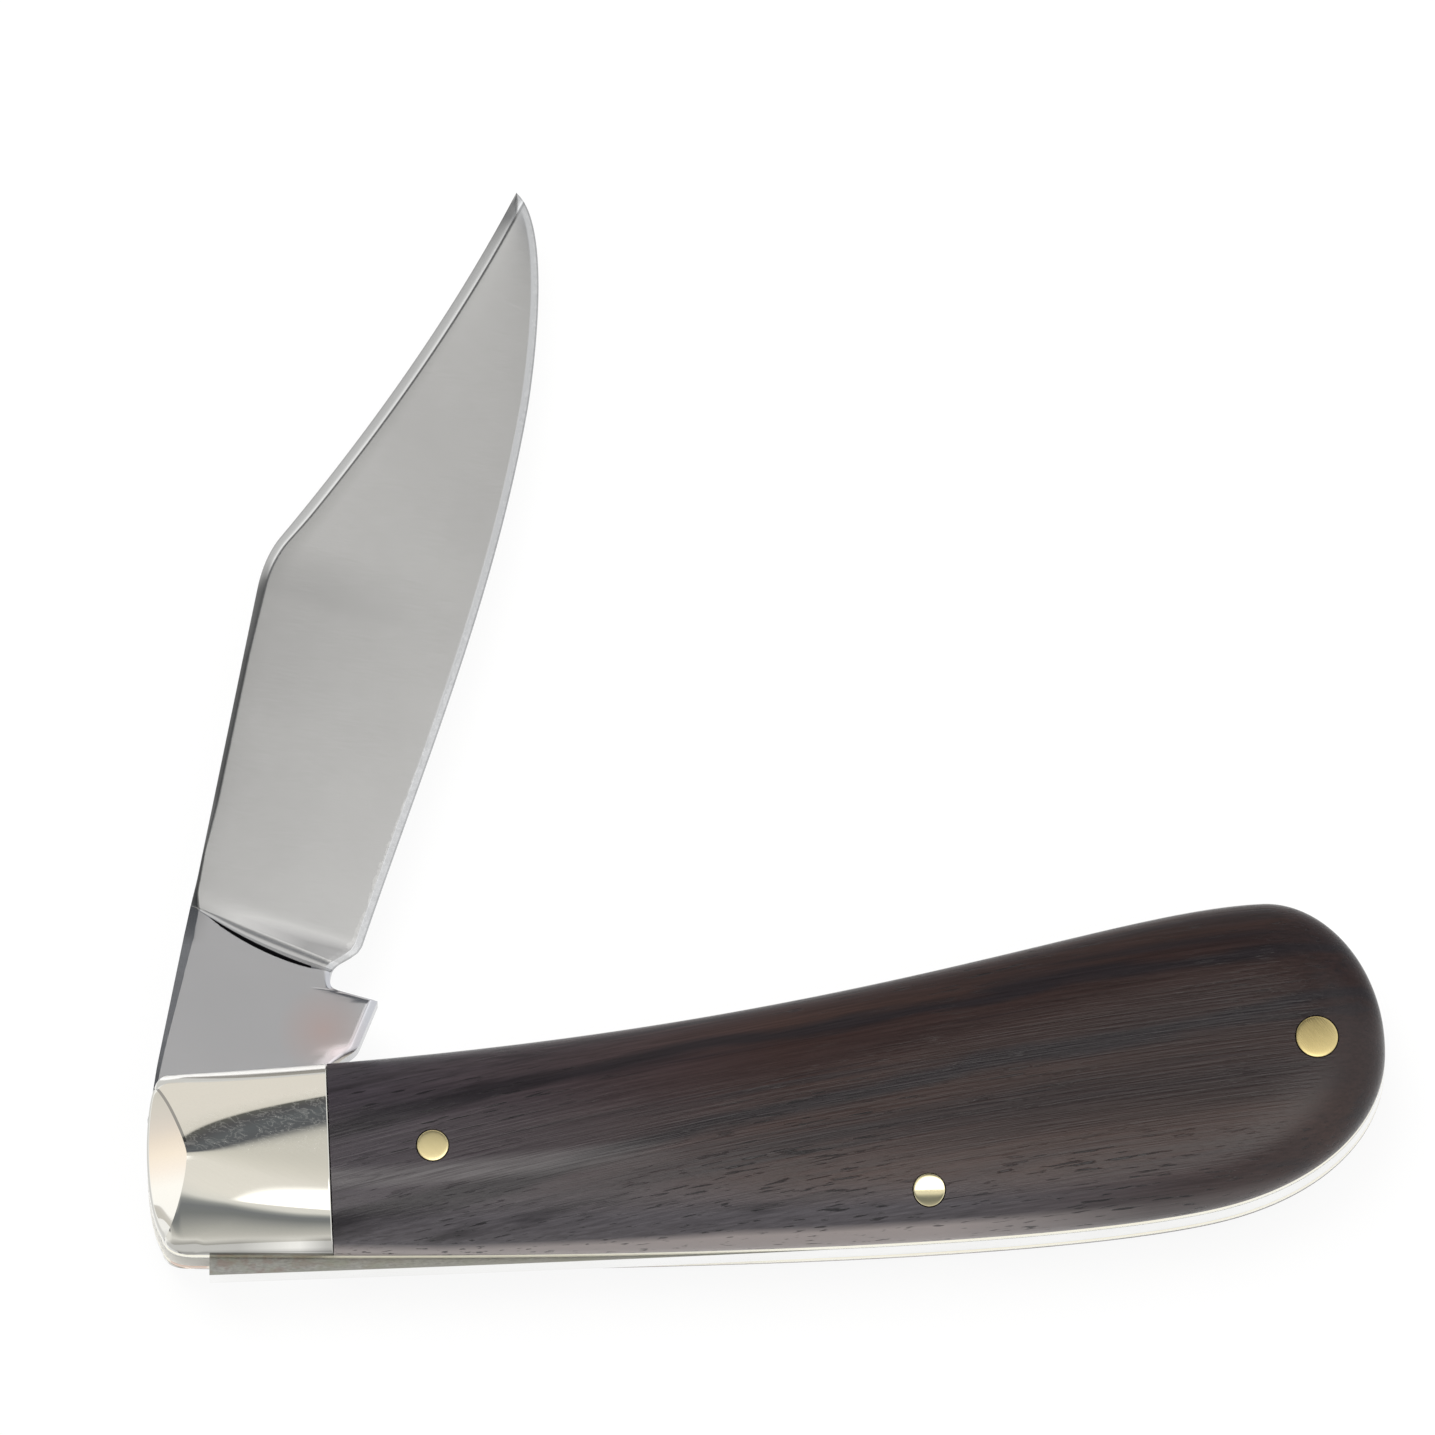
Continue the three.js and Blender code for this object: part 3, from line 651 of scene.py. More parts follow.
def steel_with_stains_and_painted_shade():
    """The spring's sides: pale grey with faint green and brown stains, browner at the nose, with
    painted shade on the faces that lean off the flat.
    """
    finish = Finish("spring_side_stains_and_painted_shade")
    x = finish.axes("Object")[0]
    blotch = noise(finish.place((0.9, 1.6, 1.6)), 4, 0.6)
    green = noise(finish.place((0.5, 1.1, 1.1), 0, (4, 9, 2)), 3, 0.5)
    grain = noise(finish.place((2.2, 7, 7)), 3, 0.6)
    rust = blotch.span(0.48, 0.62) * x.span(0.014, -0.002, 0.05, 0.6)
    grey = ramp(grain, [(0.3, (0.26, 0.26, 0.245)), (0.7, (0.43, 0.425, 0.41))])
    grey = blend(green.span(0.45, 0.65, 0.0, 0.5), grey, (0.31, 0.33, 0.26))
    color = blend(rust, grey, (0.27, 0.20, 0.175))
    # Painted shade: faces that lean off the flat, its bevels, are darkened.
    upright = abs(finish.axes("Normal")[2])
    finish["Base Color"] = tone(color, upright.span(0.98, 0.85, 1.0, 0.4))
    finish["Metallic"] = 0.35
    finish["Roughness"] = grain.span(0.3, 0.7, 0.45, 0.65)
    finish.bump(grain, 0.01)
    return finish


def wood_grain(finish, along, across, shift=(0, 0, 0)):
    """Coordinates in the grain, which rises from the bolster and levels out to the butt."""
    x, y, z = finish.axes("Object")
    height = y - x * (x * -0.95 + 0.28)
    flat = Value(add_node(finish.tree, "CombineXYZ", i0=x, i1=height, i2=z))
    return flat.scaled((along, across, across), shift)


def black_streak(finish, height, lean, width):
    """A dark band along the grain, at a height and with a half width in millimetres."""
    x, level, _ = wood_grain(finish, 1, 1).axes()
    sway = noise(wood_grain(finish, 0.05, 0.25), 3).span(0.3, 0.7, -1.0, 1.0)
    return abs(level - height - x * lean + sway).span(width, 0.3 * width)


def rosewood():
    """Dark oiled wood: violet and brown zones, black streaks, fibre lines and open pores, with
    painted light on the lower flank, a painted sheen just below the middle near the bolster, and a
    painted glare along the lower edge.
    """
    finish = Finish("dark_rosewood")
    x, y, _ = finish.axes("Object")
    nx, ny, _ = finish.axes("Normal")
    wander = noise(wood_grain(finish, 0.04, 0.10), 2)
    zones = noise(wood_grain(finish, 0.012, 0.17), 3, 0.55, 0.4)
    streaks = noise(wood_grain(finish, 0.016, 0.6, (3.1, 7.7, 0)), 4, 0.6, 0.5)
    fibres = noise(wood_grain(finish, 0.10, 5), 4, 0.65)
    pores = noise(wood_grain(finish, 0.36, 4.4, (5, 2, 1)), 2, 0.5)
    brown = ramp(zones, [
        (0.34, (0.024, 0.014, 0.015)), (0.50, (0.034, 0.019, 0.018)),
        (0.62, (0.044, 0.024, 0.021)), (0.75, (0.028, 0.017, 0.018)),
    ])
    violet = ramp(zones, [(0.35, (0.036, 0.031, 0.039)), (0.6, (0.050, 0.041, 0.049))])
    far_top = y.span(-1.5 * MM, 4 * MM) * x.span(0.035, 0.065)
    brown = tone(brown, far_top.span(0, 1, 0.95, 0.75))
    base = blend(x.span(0.010, 0.042, 1.0, 0.0), brown, violet)
    # Painted light: the down-facing lower flank is made lighter.
    flank = ny.span(-0.18, -0.42) * x.span(0.08, 0.055)
    base = blend(flank, base, (0.080, 0.073, 0.082))
    dark = streaks.span(0.52, 0.64) * 0.6
    for height, lean, width in ((-8.6, 0.045, 1.1), (-0.2, 0.0, 1.0)):
        dark = calc("MAXIMUM", dark, black_streak(finish, height, lean, width) * 0.85)
    base = blend(dark, base, (0.013, 0.011, 0.014))
    base = tone(base, fibres.span(0.3, 0.7, 0.7, 1.25))
    # Painted sheen just below the middle, near the bolster.
    sheen = ny.span(-0.010, -0.028) * ny.span(-0.11, -0.06) * x.span(0.034, 0.024)
    sheen = sheen * fibres.span(0.35, 0.65, 0.25, 0.8)
    base = blend(sheen, base, (0.135, 0.127, 0.130))
    # Painted glare along the lower edge, fading past the centre pin.
    foot = ny * -1.0 + nx * -0.35 + x.span(0.016, 0.038, -0.24, 0.0)
    painted_edge_glare = foot.span(0.60, 0.72) * x.span(0.054, 0.070, 1.0, 0.12)
    base = blend(painted_edge_glare, base, (0.30, 0.265, 0.26))
    open_pores = pores.span(0.62, 0.68) * wander.span(0.42, 0.58)
    finish["Base Color"] = blend(open_pores * 0.85, base, (0.009, 0.008, 0.010))
    finish["Roughness"] = fibres.span(0.3, 0.7, 0.17, 0.27)
    shine = ny.span(0.04, 0.22, 0.50, 0.16) * nx.span(0.1, 0.4, 1.0, 0.8)
    finish["Specular IOR Level"] = shine
    finish.bump(fibres * 0.5 - open_pores, 0.06)
    return finish


# Each metal: name, colour, tint, roughness, and the turn, depth and swings of its lines
steel = metal(
    "satin_blade_steel", (0.585, 0.592, 0.606), (0.558, 0.564, 0.578), 0.24,
    BLADE_GRAIN, 0.0001, 0.04, 0.03,
)
add_blade_lines(steel)
calm_glare(steel)
tang_steel = metal(
    "polished_tang", (0.61, 0.62, 0.665), (0.59, 0.60, 0.645), 0.2,
    BLADE_GRAIN, 0.0001, 0.04, 0.02,
)
calm_glare(tang_steel)
add_blush(tang_steel, (6.6, 10.6, CROWN + BLADE_HALF), 3.6)
groove_steel = metal("shaded_groove", (0.03, 0.03, 0.035), (0.02, 0.02, 0.025), 0.5, 0)
spring_polish = metal(
    "polished_spring_back", (0.95, 0.95, 0.94), (0.90, 0.90, 0.89), 0.08, 0, 0.0001, 0.04, 0.03,
)
spring_side = steel_with_stains_and_painted_shade()
mirror = (0.5, 0.0, 0.01, 0.03)
nickel = metal("polished_nickel_silver", (0.86, 0.85, 0.80), (0.84, 0.83, 0.79), 0.03, *mirror)
add_painted_rim_light(nickel)
add_wisps(nickel)
border_nickel = metal(
    "shaded_nickel_border", (0.40, 0.40, 0.39), (0.36, 0.36, 0.36), 0.05, *mirror,
)
ground = (0.9, 0.0004, 0.06, 0.06)
# Painted shade: the end pin's brass is darker than the scale pin's.
painted_dark_brass = metal("painted_dark_brass", (0.76, 0.63, 0.31), (0.70, 0.57, 0.27), 0.26, *ground)
brass = metal("ground_brass", (0.93, 0.81, 0.47), (0.88, 0.75, 0.42), 0.24, *ground)
# Painted highlight: the centre pin's brass is paler.
painted_pale_brass = metal(
    "polished_brass_painted_pale", (0.98, 0.90, 0.62), (0.96, 0.86, 0.56), 0.08, 0.9, 0.0002, 0.04, 0.04,
)
rolled = (0, 0.0002, 0.06, 0.05)
# Painted reflection: the liners' faces are a matt near-white and their edges a near-white metal,
# standing in for how bright their brass looks.
liner_face = metal("liner_brass_painted_pale", (0.97, 0.96, 0.93), (0.96, 0.95, 0.91), 0.4, *rolled)
liner_face["Metallic"] = 0.0
liner_edge = metal("polished_liner_edge_painted_pale", (0.97, 0.94, 0.80), (0.96, 0.91, 0.74), 0.15, *rolled)
paint_liner_edge_light(liner_edge)
rosewood_finish = rosewood()


# Covers
ACROSS = 96
WOOD_BEVEL = 0.035
LINER_BEVEL = 0.04
JOINT_STOPS = (0.0125, 0.009, 0.006, 0.0035, 0.0015, 0)


def facet_z(x, y):
    """Height of the ground facet, slightly crowned across."""
    along = (x - FACET_X) * math.cos(FACET_TURN) + y * math.sin(FACET_TURN)
    return CROWN + along * FACET_DROP / FACET_LENGTH - y * y / (2 * FACET_CROWN_RADIUS)


def on_dome(x, share):
    y = middle_y(x) + share * half_width(x)
    return np.stack([x, y, cover_rise(share, section_power(x))], -1)


def facet_border(share):
    """Where the facet meets the dome, or the front outline where the dome lies lower."""
    front = front_x(middle_y(HEAD_X) + share * half_width(HEAD_X))
    low, high = front.copy(), np.full(len(share), BOLSTER_END_X)
    for _ in range(40):
        x = (low + high) / 2
        point = on_dome(x, share)
        above = facet_z(x, point[:, 1]) > point[:, 2]
        high = np.where(above, x, high)
        low = np.where(above, low, x)
    point = on_dome(front, share)
    return np.where(facet_z(front, point[:, 1]) < point[:, 2], high, front), front


def joint_x(share):
    """Where the joint between bolster and scale crosses a line of the cover."""
    y = middle_y(BOLSTER_END_X) + share * half_width(BOLSTER_END_X)
    return BOLSTER_END_X - y * math.tan(JOINT_TURN)


def quarter_round(distance, radius):
    """How far a rounded rim falls, by the distance from its outline."""
    share = 1 - np.clip(distance / radius, 0, 1)
    return radius * (1 - np.sqrt(1 - share ** 2))


def lowered(z, fall):
    """Heights under a rounded rim, but no lower than its foot."""
    return np.maximum(z - fall, np.minimum(z, RIM_FLOOR))


def eased_front(points):
    """Rounds the rim of the bolster's front, and its two corners further in."""
    x, y, z = points[..., 0], points[..., 1], points[..., 2]
    near = distance_to(points[..., :2].reshape(-1, 2), FRONT).reshape(x.shape)
    for width, share, from_y, over_y in CORNER_EASES:
        ease = share * (1 - np.clip(near / width, 0, 1)) ** 2 * smooth((y - from_y) / over_y)
        z = LINER_TOP + (z - LINER_TOP) * (1 - ease)
    return np.stack([x, y, lowered(z, quarter_round(near, RIM_RADIUS))], -1)


def bolster(side):
    skin = Skin()
    share = spread(ACROSS)
    border, front = facet_border(share)
    end = joint_x(share) - JOINT_GAP
    stops = np.append(np.linspace(0, 1, 78)[:-1] ** 1.2, 1 - np.array(JOINT_STOPS))
    rows = eased_front(np.array([on_dome(mix(border, end, s), share) for s in stops]))
    rows[..., 2] = lowered(rows[..., 2], quarter_round(end - rows[..., 0], JOINT_RADIUS))
    on_facet = border - front > 1e-6
    shaded = np.flatnonzero(on_facet & (rows[0][:, 1] > 0.5))
    first, last = shaded[0], shaded[-1]
    skin.grid(rows[BORDER_ROWS:])
    for start, end, slot in ((0, first, 0), (first, last, 1), (last, len(share) - 1, 0)):
        skin.grid(rows[:BORDER_ROWS + 1, start:end + 1], slot=slot)
    x = np.array([mix(front, border, s) for s in np.linspace(0, 1, 33) ** 1.6])
    y = on_dome(x, share)[..., 1]
    facet_rows = eased_front(np.stack([x, y, facet_z(x, y)], -1)[:, on_facet])
    facet_rows[-1] = rows[0][on_facet]
    skin.grid(facet_rows)
    rim = rows[0].copy()
    rim[on_facet] = facet_rows[0]
    bottom = at_height(rim, LINER_TOP)
    skin.wall(bottom, rim, closed=False)
    skin.wall(at_height(rows[-1], LINER_TOP), rows[-1], closed=False)
    edges = [[row[k] for row in rows] for k in (0, -1)]
    outline = np.vstack([bottom[::-1], edges[0][1:], rows[-1][1:-1], edges[1][::-1][:-1]])
    skin.cap([outline], LINER_TOP)
    finishes = [nickel, border_nickel]
    return skin.build(f"{side_name(side)}_bolster_cap", finishes, side, sharp=24)


def side_name(side):
    return "front" if side > 0 else "back"


def scale(side):
    skin = Skin()
    share = spread(ACROSS)
    start = joint_x(share) + JOINT_GAP
    rows = np.array([on_dome(mix(start, CORE_END_X, s), share) for s in np.linspace(0, 1, 181)])
    skin.grid(rows)
    outward = share[ACROSS // 2:]
    rise = cover_rise(outward, section_power(CORE_END_X))
    fan = [CORE_END + outward[:, None] * (point - CORE_END) for point in RIM]
    skin.grid(np.array([np.column_stack([flat, rise]) for flat in fan]))
    skin.wall(at_height(rows[0], LINER_TOP), rows[0], closed=False)
    outline = np.vstack([rows[:, -1, :2], RIM[1:-1], rows[::-1, 0, :2], rows[0, 1:-1, :2]])
    skin.cap([outline], LINER_TOP)
    obj = skin.build(f"{side_name(side)}_scale_wood", [rosewood_finish], side, bevel=WOOD_BEVEL)
    cut(obj, [drill(hole, side) for hole in (CENTER_PIN, END_PIN, SCALE_PIN)])
    return obj


def drill(pin, side):
    x, y, radius = pin
    skin = Skin()
    skin.plate([circle(x, y, radius + WOOD_FIT)], LINER_TOP - 1, CROWN + 1)
    return skin.build("drill", [rosewood_finish], side)


def liner(side):
    skin = Skin()
    pins = [PIVOT_PIN, CENTER_PIN, END_PIN, SCALE_PIN, *RIVETS]
    holes = [circle(x, y, radius + PIN_FIT) for x, y, radius in pins]
    skin.plate([plan_outline(), *holes], SLOT_HALF, LINER_TOP, wall_slot=1)
    finishes = [liner_face, liner_edge]
    return skin.build(f"{side_name(side)}_liner_plate", finishes, side, bevel=LINER_BEVEL)


# Pins
HEAD_RINGS = 14
HEAD_CROWN = 0.02
CENTER_CROWN = 0.085
HEAD_EASE = 0.03
ROD_EASE = 0.1
ROD_COVER = 0.25


def head_rows(x, y, radius, side, crown):
    """Rings of a pin's end, from its centre out, following the cover and slightly crowned."""
    rows = []
    for k in range(HEAD_RINGS + 1):
        share = math.sin(k / HEAD_RINGS * math.pi / 2)
        ring = circle(x, y, max(radius * share, 1e-4))
        rise = crown * (1 - ((ring[:, 1] - y) / radius) ** 2)
        rise = rise + HEAD_EASE * (math.sqrt(max(0, 1 - share ** 12)) - 1)
        z = cover_z(ring[:, 0], ring[:, 1]) + rise
        rows.append(np.column_stack([ring, z * side]))
    return rows


def through_pin(name, pin, finish, crown=HEAD_CROWN):
    x, y, radius = pin
    skin = Skin()
    ends = [head_rows(x, y, radius, side, crown) for side in (1, -1)]
    for rows in ends:
        skin.grid(closed_rows(rows))
    skin.grid(closed_rows([ends[0][-1], ends[1][-1]]))
    return skin.build(name, [finish])


def short_pin(name, pin, finish, side):
    x, y, radius = pin
    skin = Skin()
    rows = head_rows(x, y, radius, 1, HEAD_CROWN)
    foot = at_height(rows[-1], SLOT_HALF)
    skin.grid(closed_rows([*rows, foot]))
    skin.cap([foot], SLOT_HALF)
    return skin.build(name, [finish], side)


def pivot_rod():
    """The pivot pin, ground flush and polished over, so that it stops just under the caps."""
    skin = Skin()
    reach = CROWN - ROD_COVER
    skin.plate([circle(*PIVOT_PIN)], -reach, reach)
    return skin.build("pivot_rod", [nickel], bevel=ROD_EASE)


# Backspring
SPRING_BEVEL = 0.09


def spring_lift(x):
    at_pivot = CAM_RADIUS + CONTACT_GAP - SPRING_SEAT
    return at_pivot * np.maximum(0, (SPRING_REACH - x) / SPRING_REACH) ** SPRING_BEND


def spline(points, steps):
    """A smooth curve through the points."""
    points = np.array(points, float)
    padded = np.vstack([points[:1], points, points[-1:]])
    out = []
    for i in range(len(points) - 1):
        p0, p1, p2, p3 = padded[i:i + 4]
        t = np.linspace(0, 1, steps, endpoint=False)[:, None]
        out.append(0.5 * (
            2 * p1 + (p2 - p0) * t + (2 * p0 - 5 * p1 + 4 * p2 - p3) * t * t
            + (3 * p1 - p0 - 3 * p2 + p3) * t ** 3
        ))
    return np.vstack([*out, points[-1:]])


def spring_leaf():
    """The spring as it lies here, bent outwards by the half-open tang."""
    boss = CENTER_PIN[1] + CENTER_PIN[2] + SPRING_BOSS_MARGIN
    ring = END_PIN[2] + SPRING_BOSS_MARGIN
    seat = np.column_stack([
        np.linspace(SPRING_NOSE_X, KICK_SEAT_X - KICK_SEAT_LENGTH, 24),
        np.full(24, -SPRING_SEAT),
    ])
    kick = KICK_SEAT_RISE - SPRING_SEAT
    curve = spline([
        (KICK_SEAT_X, kick),
        ((KICK_SEAT_X + CENTER_PIN[0]) / 2, mix(kick, boss, 0.35)),
        (CENTER_PIN[0], boss),
        ((CENTER_PIN[0] + END_PIN[0]) / 2, boss + 0.3),
        (END_PIN[0] - ring - 2, END_PIN[1] - ring - 2),
        (END_PIN[0] - ring, END_PIN[1]),
        (END_PIN[0] - ring / 2, END_PIN[1] + ring),
    ], 24)
    upper_end = UPPER[(UPPER[:, 1] < SPRING_END_Y) & (UPPER[:, 0] > CREST[0])]
    start = [[np.interp(-SPRING_END_Y, -BUTT_UPPER[:, 1], BUTT_UPPER[:, 0]), SPRING_END_Y]]
    outside = np.vstack([start, upper_end, LOWER[::-1][1:]])
    outside = outside[outside[:, 0] > SPRING_NOSE_X]
    nose = [[SPRING_NOSE_X, float(lower_y(SPRING_NOSE_X))]]
    outline = np.vstack([seat, curve, outside, nose])
    outline[:, 1] -= spring_lift(outline[:, 0])
    holes = [circle(x, y, radius + PIN_FIT) for x, y, radius in (CENTER_PIN, END_PIN)]
    skin = Skin()
    skin.plate([outline, *holes], -SPRING_HALF, SPRING_HALF, wall_slot=1)
    finishes = [spring_side, spring_polish]
    return skin.build("spring_leaf", finishes, bevel=SPRING_BEVEL, sharp=25)


# Blade
BEVEL_STOPS = 8
FACE_COLUMNS = 10
FILLET_STEPS = 20
LEAD_WIDTH = 0.4
LEAD_RISE = 0.04
SOFT_EASE = (0.8, 0.25)
SHARP_EASE = (0.2, 0.12)
CHOIL_EASE = (0.4, 0.25)
SPINE_Y = SPINE_PROUD - float(lower_y(SPRING_NOSE_X))
FLAT_Y = SPRING_SEAT - CONTACT_GAP
CAM_CORNER = math.acos(FLAT_Y / CAM_RADIUS)


def in_shut_blade(x, y):
    return np.array(turned(x, y, -SHUT_ANGLE))


def spine_line():
    turn_end = (CLIP_X + CLIP_TURN, SPINE_Y - CLIP_FALL)
    turn = arch([(CLIP_X, SPINE_Y), (CLIP_X + CLIP_TURN_PULL, SPINE_Y), turn_end], 24)
    clip = arch([turn_end, (TIP[0] - 14.2, TIP[1] + 3.97), TIP], 160)
    return np.vstack([[[0, SPINE_Y]], turn, clip[1:]])


def edge_line():
    choil = pulled(CHOIL, (1.2, 0), HEEL, (-1.25, 0.08), 30)
    main = pulled(HEEL, (15.2, -1.9), BELLY, (-15.4, -0.4), 120)
    belly = pulled(BELLY, (1.8, 0.06), TIP, (-2, -3.47), 120)
    return np.vstack([choil, main[1:], belly[1:]])


SPINE = spine_line()
EDGE = edge_line()


def on_line(line, x):
    return np.array([x, np.interp(x, line[:, 0], line[:, 1])])


def tang_outline():
    """The kick side of the tang in five lines: shut flat, relief, kick, its front and choil."""
    kick_start_x = KICK_SEAT_X - KICK_SEAT_LENGTH
    corner = 1.5 * math.pi - SHUT_ANGLE - CAM_CORNER
    cam_end = np.array([CAM_RADIUS * math.cos(corner), CAM_RADIUS * math.sin(corner)])
    relief = bezier([
        in_shut_blade(TANG_FLAT_END, -FLAT_Y),
        in_shut_blade(TANG_FLAT_END + TANG_RELIEF, TANG_RELIEF - FLAT_Y),
        in_shut_blade(kick_start_x - TANG_RELIEF, TANG_RELIEF - FLAT_Y),
        in_shut_blade(kick_start_x, -FLAT_Y),
    ], 16)
    kick_end = in_shut_blade(KICK_SEAT_X, KICK_SEAT_RISE - FLAT_Y)
    corner_end = mix(relief[-1], kick_end, 0.14)
    relief = np.vstack([relief[:-2], arch([relief[-3], relief[-1], corner_end], 6)[1:]])
    kick = np.array([corner_end, kick_end])
    front_x = kick[-1][0] + KICK_LEAN
    front = np.array([kick[-1], (front_x, CHOIL[1] - CHOIL_CORNER)])
    choil = arch([front[-1], (front_x, CHOIL[1]), CHOIL], 10)
    return np.array([cam_end, relief[0]]), relief, kick, front, choil


def tang_stations(outline):
    """Pairs of points, on the spine side and on the kick side, from the round end to the plunge."""
    shut_flat, relief, kick, front, choil = outline
    stop_x = OPEN_STOP_GAP - SPRING_NOSE_X
    half_way = (shut_flat[0] + shut_flat[1]) / 2
    pairs = []
    for share in np.linspace(0.0, 1, 10):
        up = mix(math.pi, math.pi / 2 + CAM_CORNER, share)
        down = mix(math.pi, 1.5 * math.pi - SHUT_ANGLE - CAM_CORNER, share)
        pairs.append([(CAM_RADIUS * math.cos(a), CAM_RADIUS * math.sin(a)) for a in (up, down)])
    high = np.array(pairs[-1][0], float)
    for x, y, line, steps in (
        (stop_x, FLAT_Y, [shut_flat[0], half_way], 3),
        (stop_x, SPINE_Y, [half_way, relief[0]], 3),
        (9, SPINE_Y, relief, 2 * (len(relief) - 1)),
        (13, SPINE_Y, kick, 10),
        (14.4, SPINE_Y, front, 8),
        (15.6, SPINE_Y, choil[:-1], len(choil) - 2),
        (17, SPINE_Y, [choil[-2], mix(choil[-2], CHOIL, 0.4)], 2),
    ):
        end = np.array([x, y], float)
        for k, at in enumerate(np.linspace(0, len(line) - 1, steps + 1)[1:], 1):
            i = min(int(at), len(line) - 2)
            low = line[i] + (line[i + 1] - line[i]) * (at - i)
            pairs.append([high + (end - high) * k / steps, low])
        high = end
    return [np.array(pair, float) for pair in pairs]


def spine_half(x):
    thin = mix(SPINE_HALF, CLIP_HALF, (x - PLUNGE_SPINE_X) / (CLIP_X - PLUNGE_SPINE_X))
    return np.where(x < CLIP_X, thin, mix(CLIP_HALF, TIP_HALF, (x - CLIP_X) / (TIP[0] - CLIP_X)))


def in_clip(x):
    """How far the crown has become the swedge."""
    return float(smooth((x - CLIP_X) / (1.6 * CLIP_TURN)))


def crown_width(x):
    crown = float(np.interp(x, *zip(*CROWN_WIDTHS)))
    return float(mix(crown, SWEDGE_WIDTH, in_clip(x)))


def humped(rows):
    """Lets the tang's back stand out a little, between the pivot and the grind."""
    x, y = rows[..., 0], rows[..., 1]
    hump = TANG_HUMP * smooth((x - 3) / 4) * smooth((22 - x) / 4)
    rows[..., 1] = y + hump * np.clip((y - SPINE_Y + 1.5) / 1.5, 0, 1)
    return rows


def section(high, low, x):
    """Plan points across one station, their distances from the spine side, and its width."""
    width = float(np.linalg.norm(low - high))
    crown = min(crown_width(x), 0.4 * width)
    bevel = min(BEVEL_WIDTH if x >= PLUNGE_SPINE_X else SOFT_EASE[0], 0.4 * width)
    crease = min(CREASE_WIDTH, 0.5 * crown)
    near = np.linspace(0, crown - crease, 5)
    bend = crown + crease * np.linspace(-1, 1, 9)[1:]
    face = np.linspace(crown + crease, width - bevel - 0.06, FACE_COLUMNS + 2)[1:]
    far = width - bevel * np.linspace(1, 0, BEVEL_STOPS)
    across = np.concatenate([near, bend, face, far])
    shares = across / max(width, 1e-6)
    return high + shares[:, None] * (low - high), across, width


def eased(points, line, ease):
    """How much is rounded off near a line of the outline."""
    width, depth = ease
    return depth * (1 - np.clip(distance_to(points, line) / width, 0, 1)) ** 2


def softer_min(a, b, width):
    """The lesser of two heights, with the crease between them rounded."""
    share = np.clip(0.5 + 0.5 * (b - a) / width, 0, 1)
    return b + (a - b) * share - width * share * (1 - share)


def tang_half(points, outline):
    """Half thickness of the tang: flat, chamfered along its back and eased round the rest."""
    shut_flat, relief, kick, front, choil = outline
    soft = eased(points, np.vstack([shut_flat, relief, kick]), SOFT_EASE)
    sharp = eased(points, front, SHARP_EASE)
    notch = eased(points, np.vstack([choil[4:], EDGE[EDGE[:, 0] < 17.2][1:]]), CHOIL_EASE)
    ease = np.maximum(soft, np.maximum(sharp, notch))
    crown = np.array([crown_width(x) for x in points[:, 0]])
    return BLADE_HALF - np.maximum(ease, CROWN_SLOPE * (crown - (SPINE_Y - points[:, 1])))


def ground_half(across, width, x):
    """Half thickness across the ground blade: crown or swedge, flat grind, edge bevel."""
    crown = min(crown_width(x), 0.4 * width)
    bevel = min(BEVEL_WIDTH, 0.4 * width)
    spine = float(spine_half(x))
    fall = (spine - SHOULDER_HALF) / (width - bevel)
    at_crown = spine - fall * crown
    swedge_slope = (at_crown - SWEDGE_SHARE * spine) / crown
    slope = mix(CROWN_SLOPE, swedge_slope, in_clip(x))
    flank = at_crown - slope * (crown - across)
    crease = min(CREASE_WIDTH, 0.5 * crown) * (slope + fall)
    half = softer_min(flank, spine - fall * across, crease)
    outer = mix(SHOULDER_HALF, EDGE_HALF, (across - (width - bevel)) / bevel)
    return np.where(across > width - bevel, outer, half)


def blade_rows():
    """Rows of points on one face of the blade, from round end to tip, with their materials."""
    outline = tang_outline()
    rows = []
    for high, low in tang_stations(outline):
        plan, _, _ = section(high, low, high[0])
        rows.append(np.column_stack([plan, tang_half(plan, outline)]))
    slots = [2] * len(rows)
    fillet = plunge_rows(outline)
    rows += fillet
    slots += [2, 1, 1] + [0] * (len(fillet) - 3)
    for share in 1 - (1 - np.linspace(0, 1, 151)[1:]) ** 1.3:
        spine_x = mix(PLUNGE_SPINE_X, TIP[0], share * 0.9993)
        edge_x = mix(PLUNGE_EDGE_X, TIP[0], share * 0.9993)
        high, low = on_line(SPINE, spine_x), on_line(EDGE, edge_x)
        plan, across, width = section(high, low, spine_x)
        rows.append(np.column_stack([plan, ground_half(across, width, spine_x)]))
        slots.append(0)
    return humped(np.array(rows)), slots


def fillet_rise(distance, reach, drop):
    """How far the fillet stands over the face: a long shallow lead, then the steep part."""
    start = np.minimum(LEAD_WIDTH, 0.5 * reach)
    lead = np.minimum(LEAD_RISE, 0.25 * drop)

    def shallow(d):
        return lead * np.where(d < start, (d / start) ** 2, 2 * d / start - 1)

    steep = np.clip((distance - 0.8 * start) / (reach - 0.8 * start), 0, 1) ** 3
    return shallow(distance) + (drop - shallow(reach)) * steep


def plunge_section():
    """Distances from the spine across the station where the grind ends, and its width."""
    high, low = on_line(SPINE, PLUNGE_SPINE_X), on_line(EDGE, PLUNGE_EDGE_X)
    return section(high, low, PLUNGE_SPINE_X)[1:]


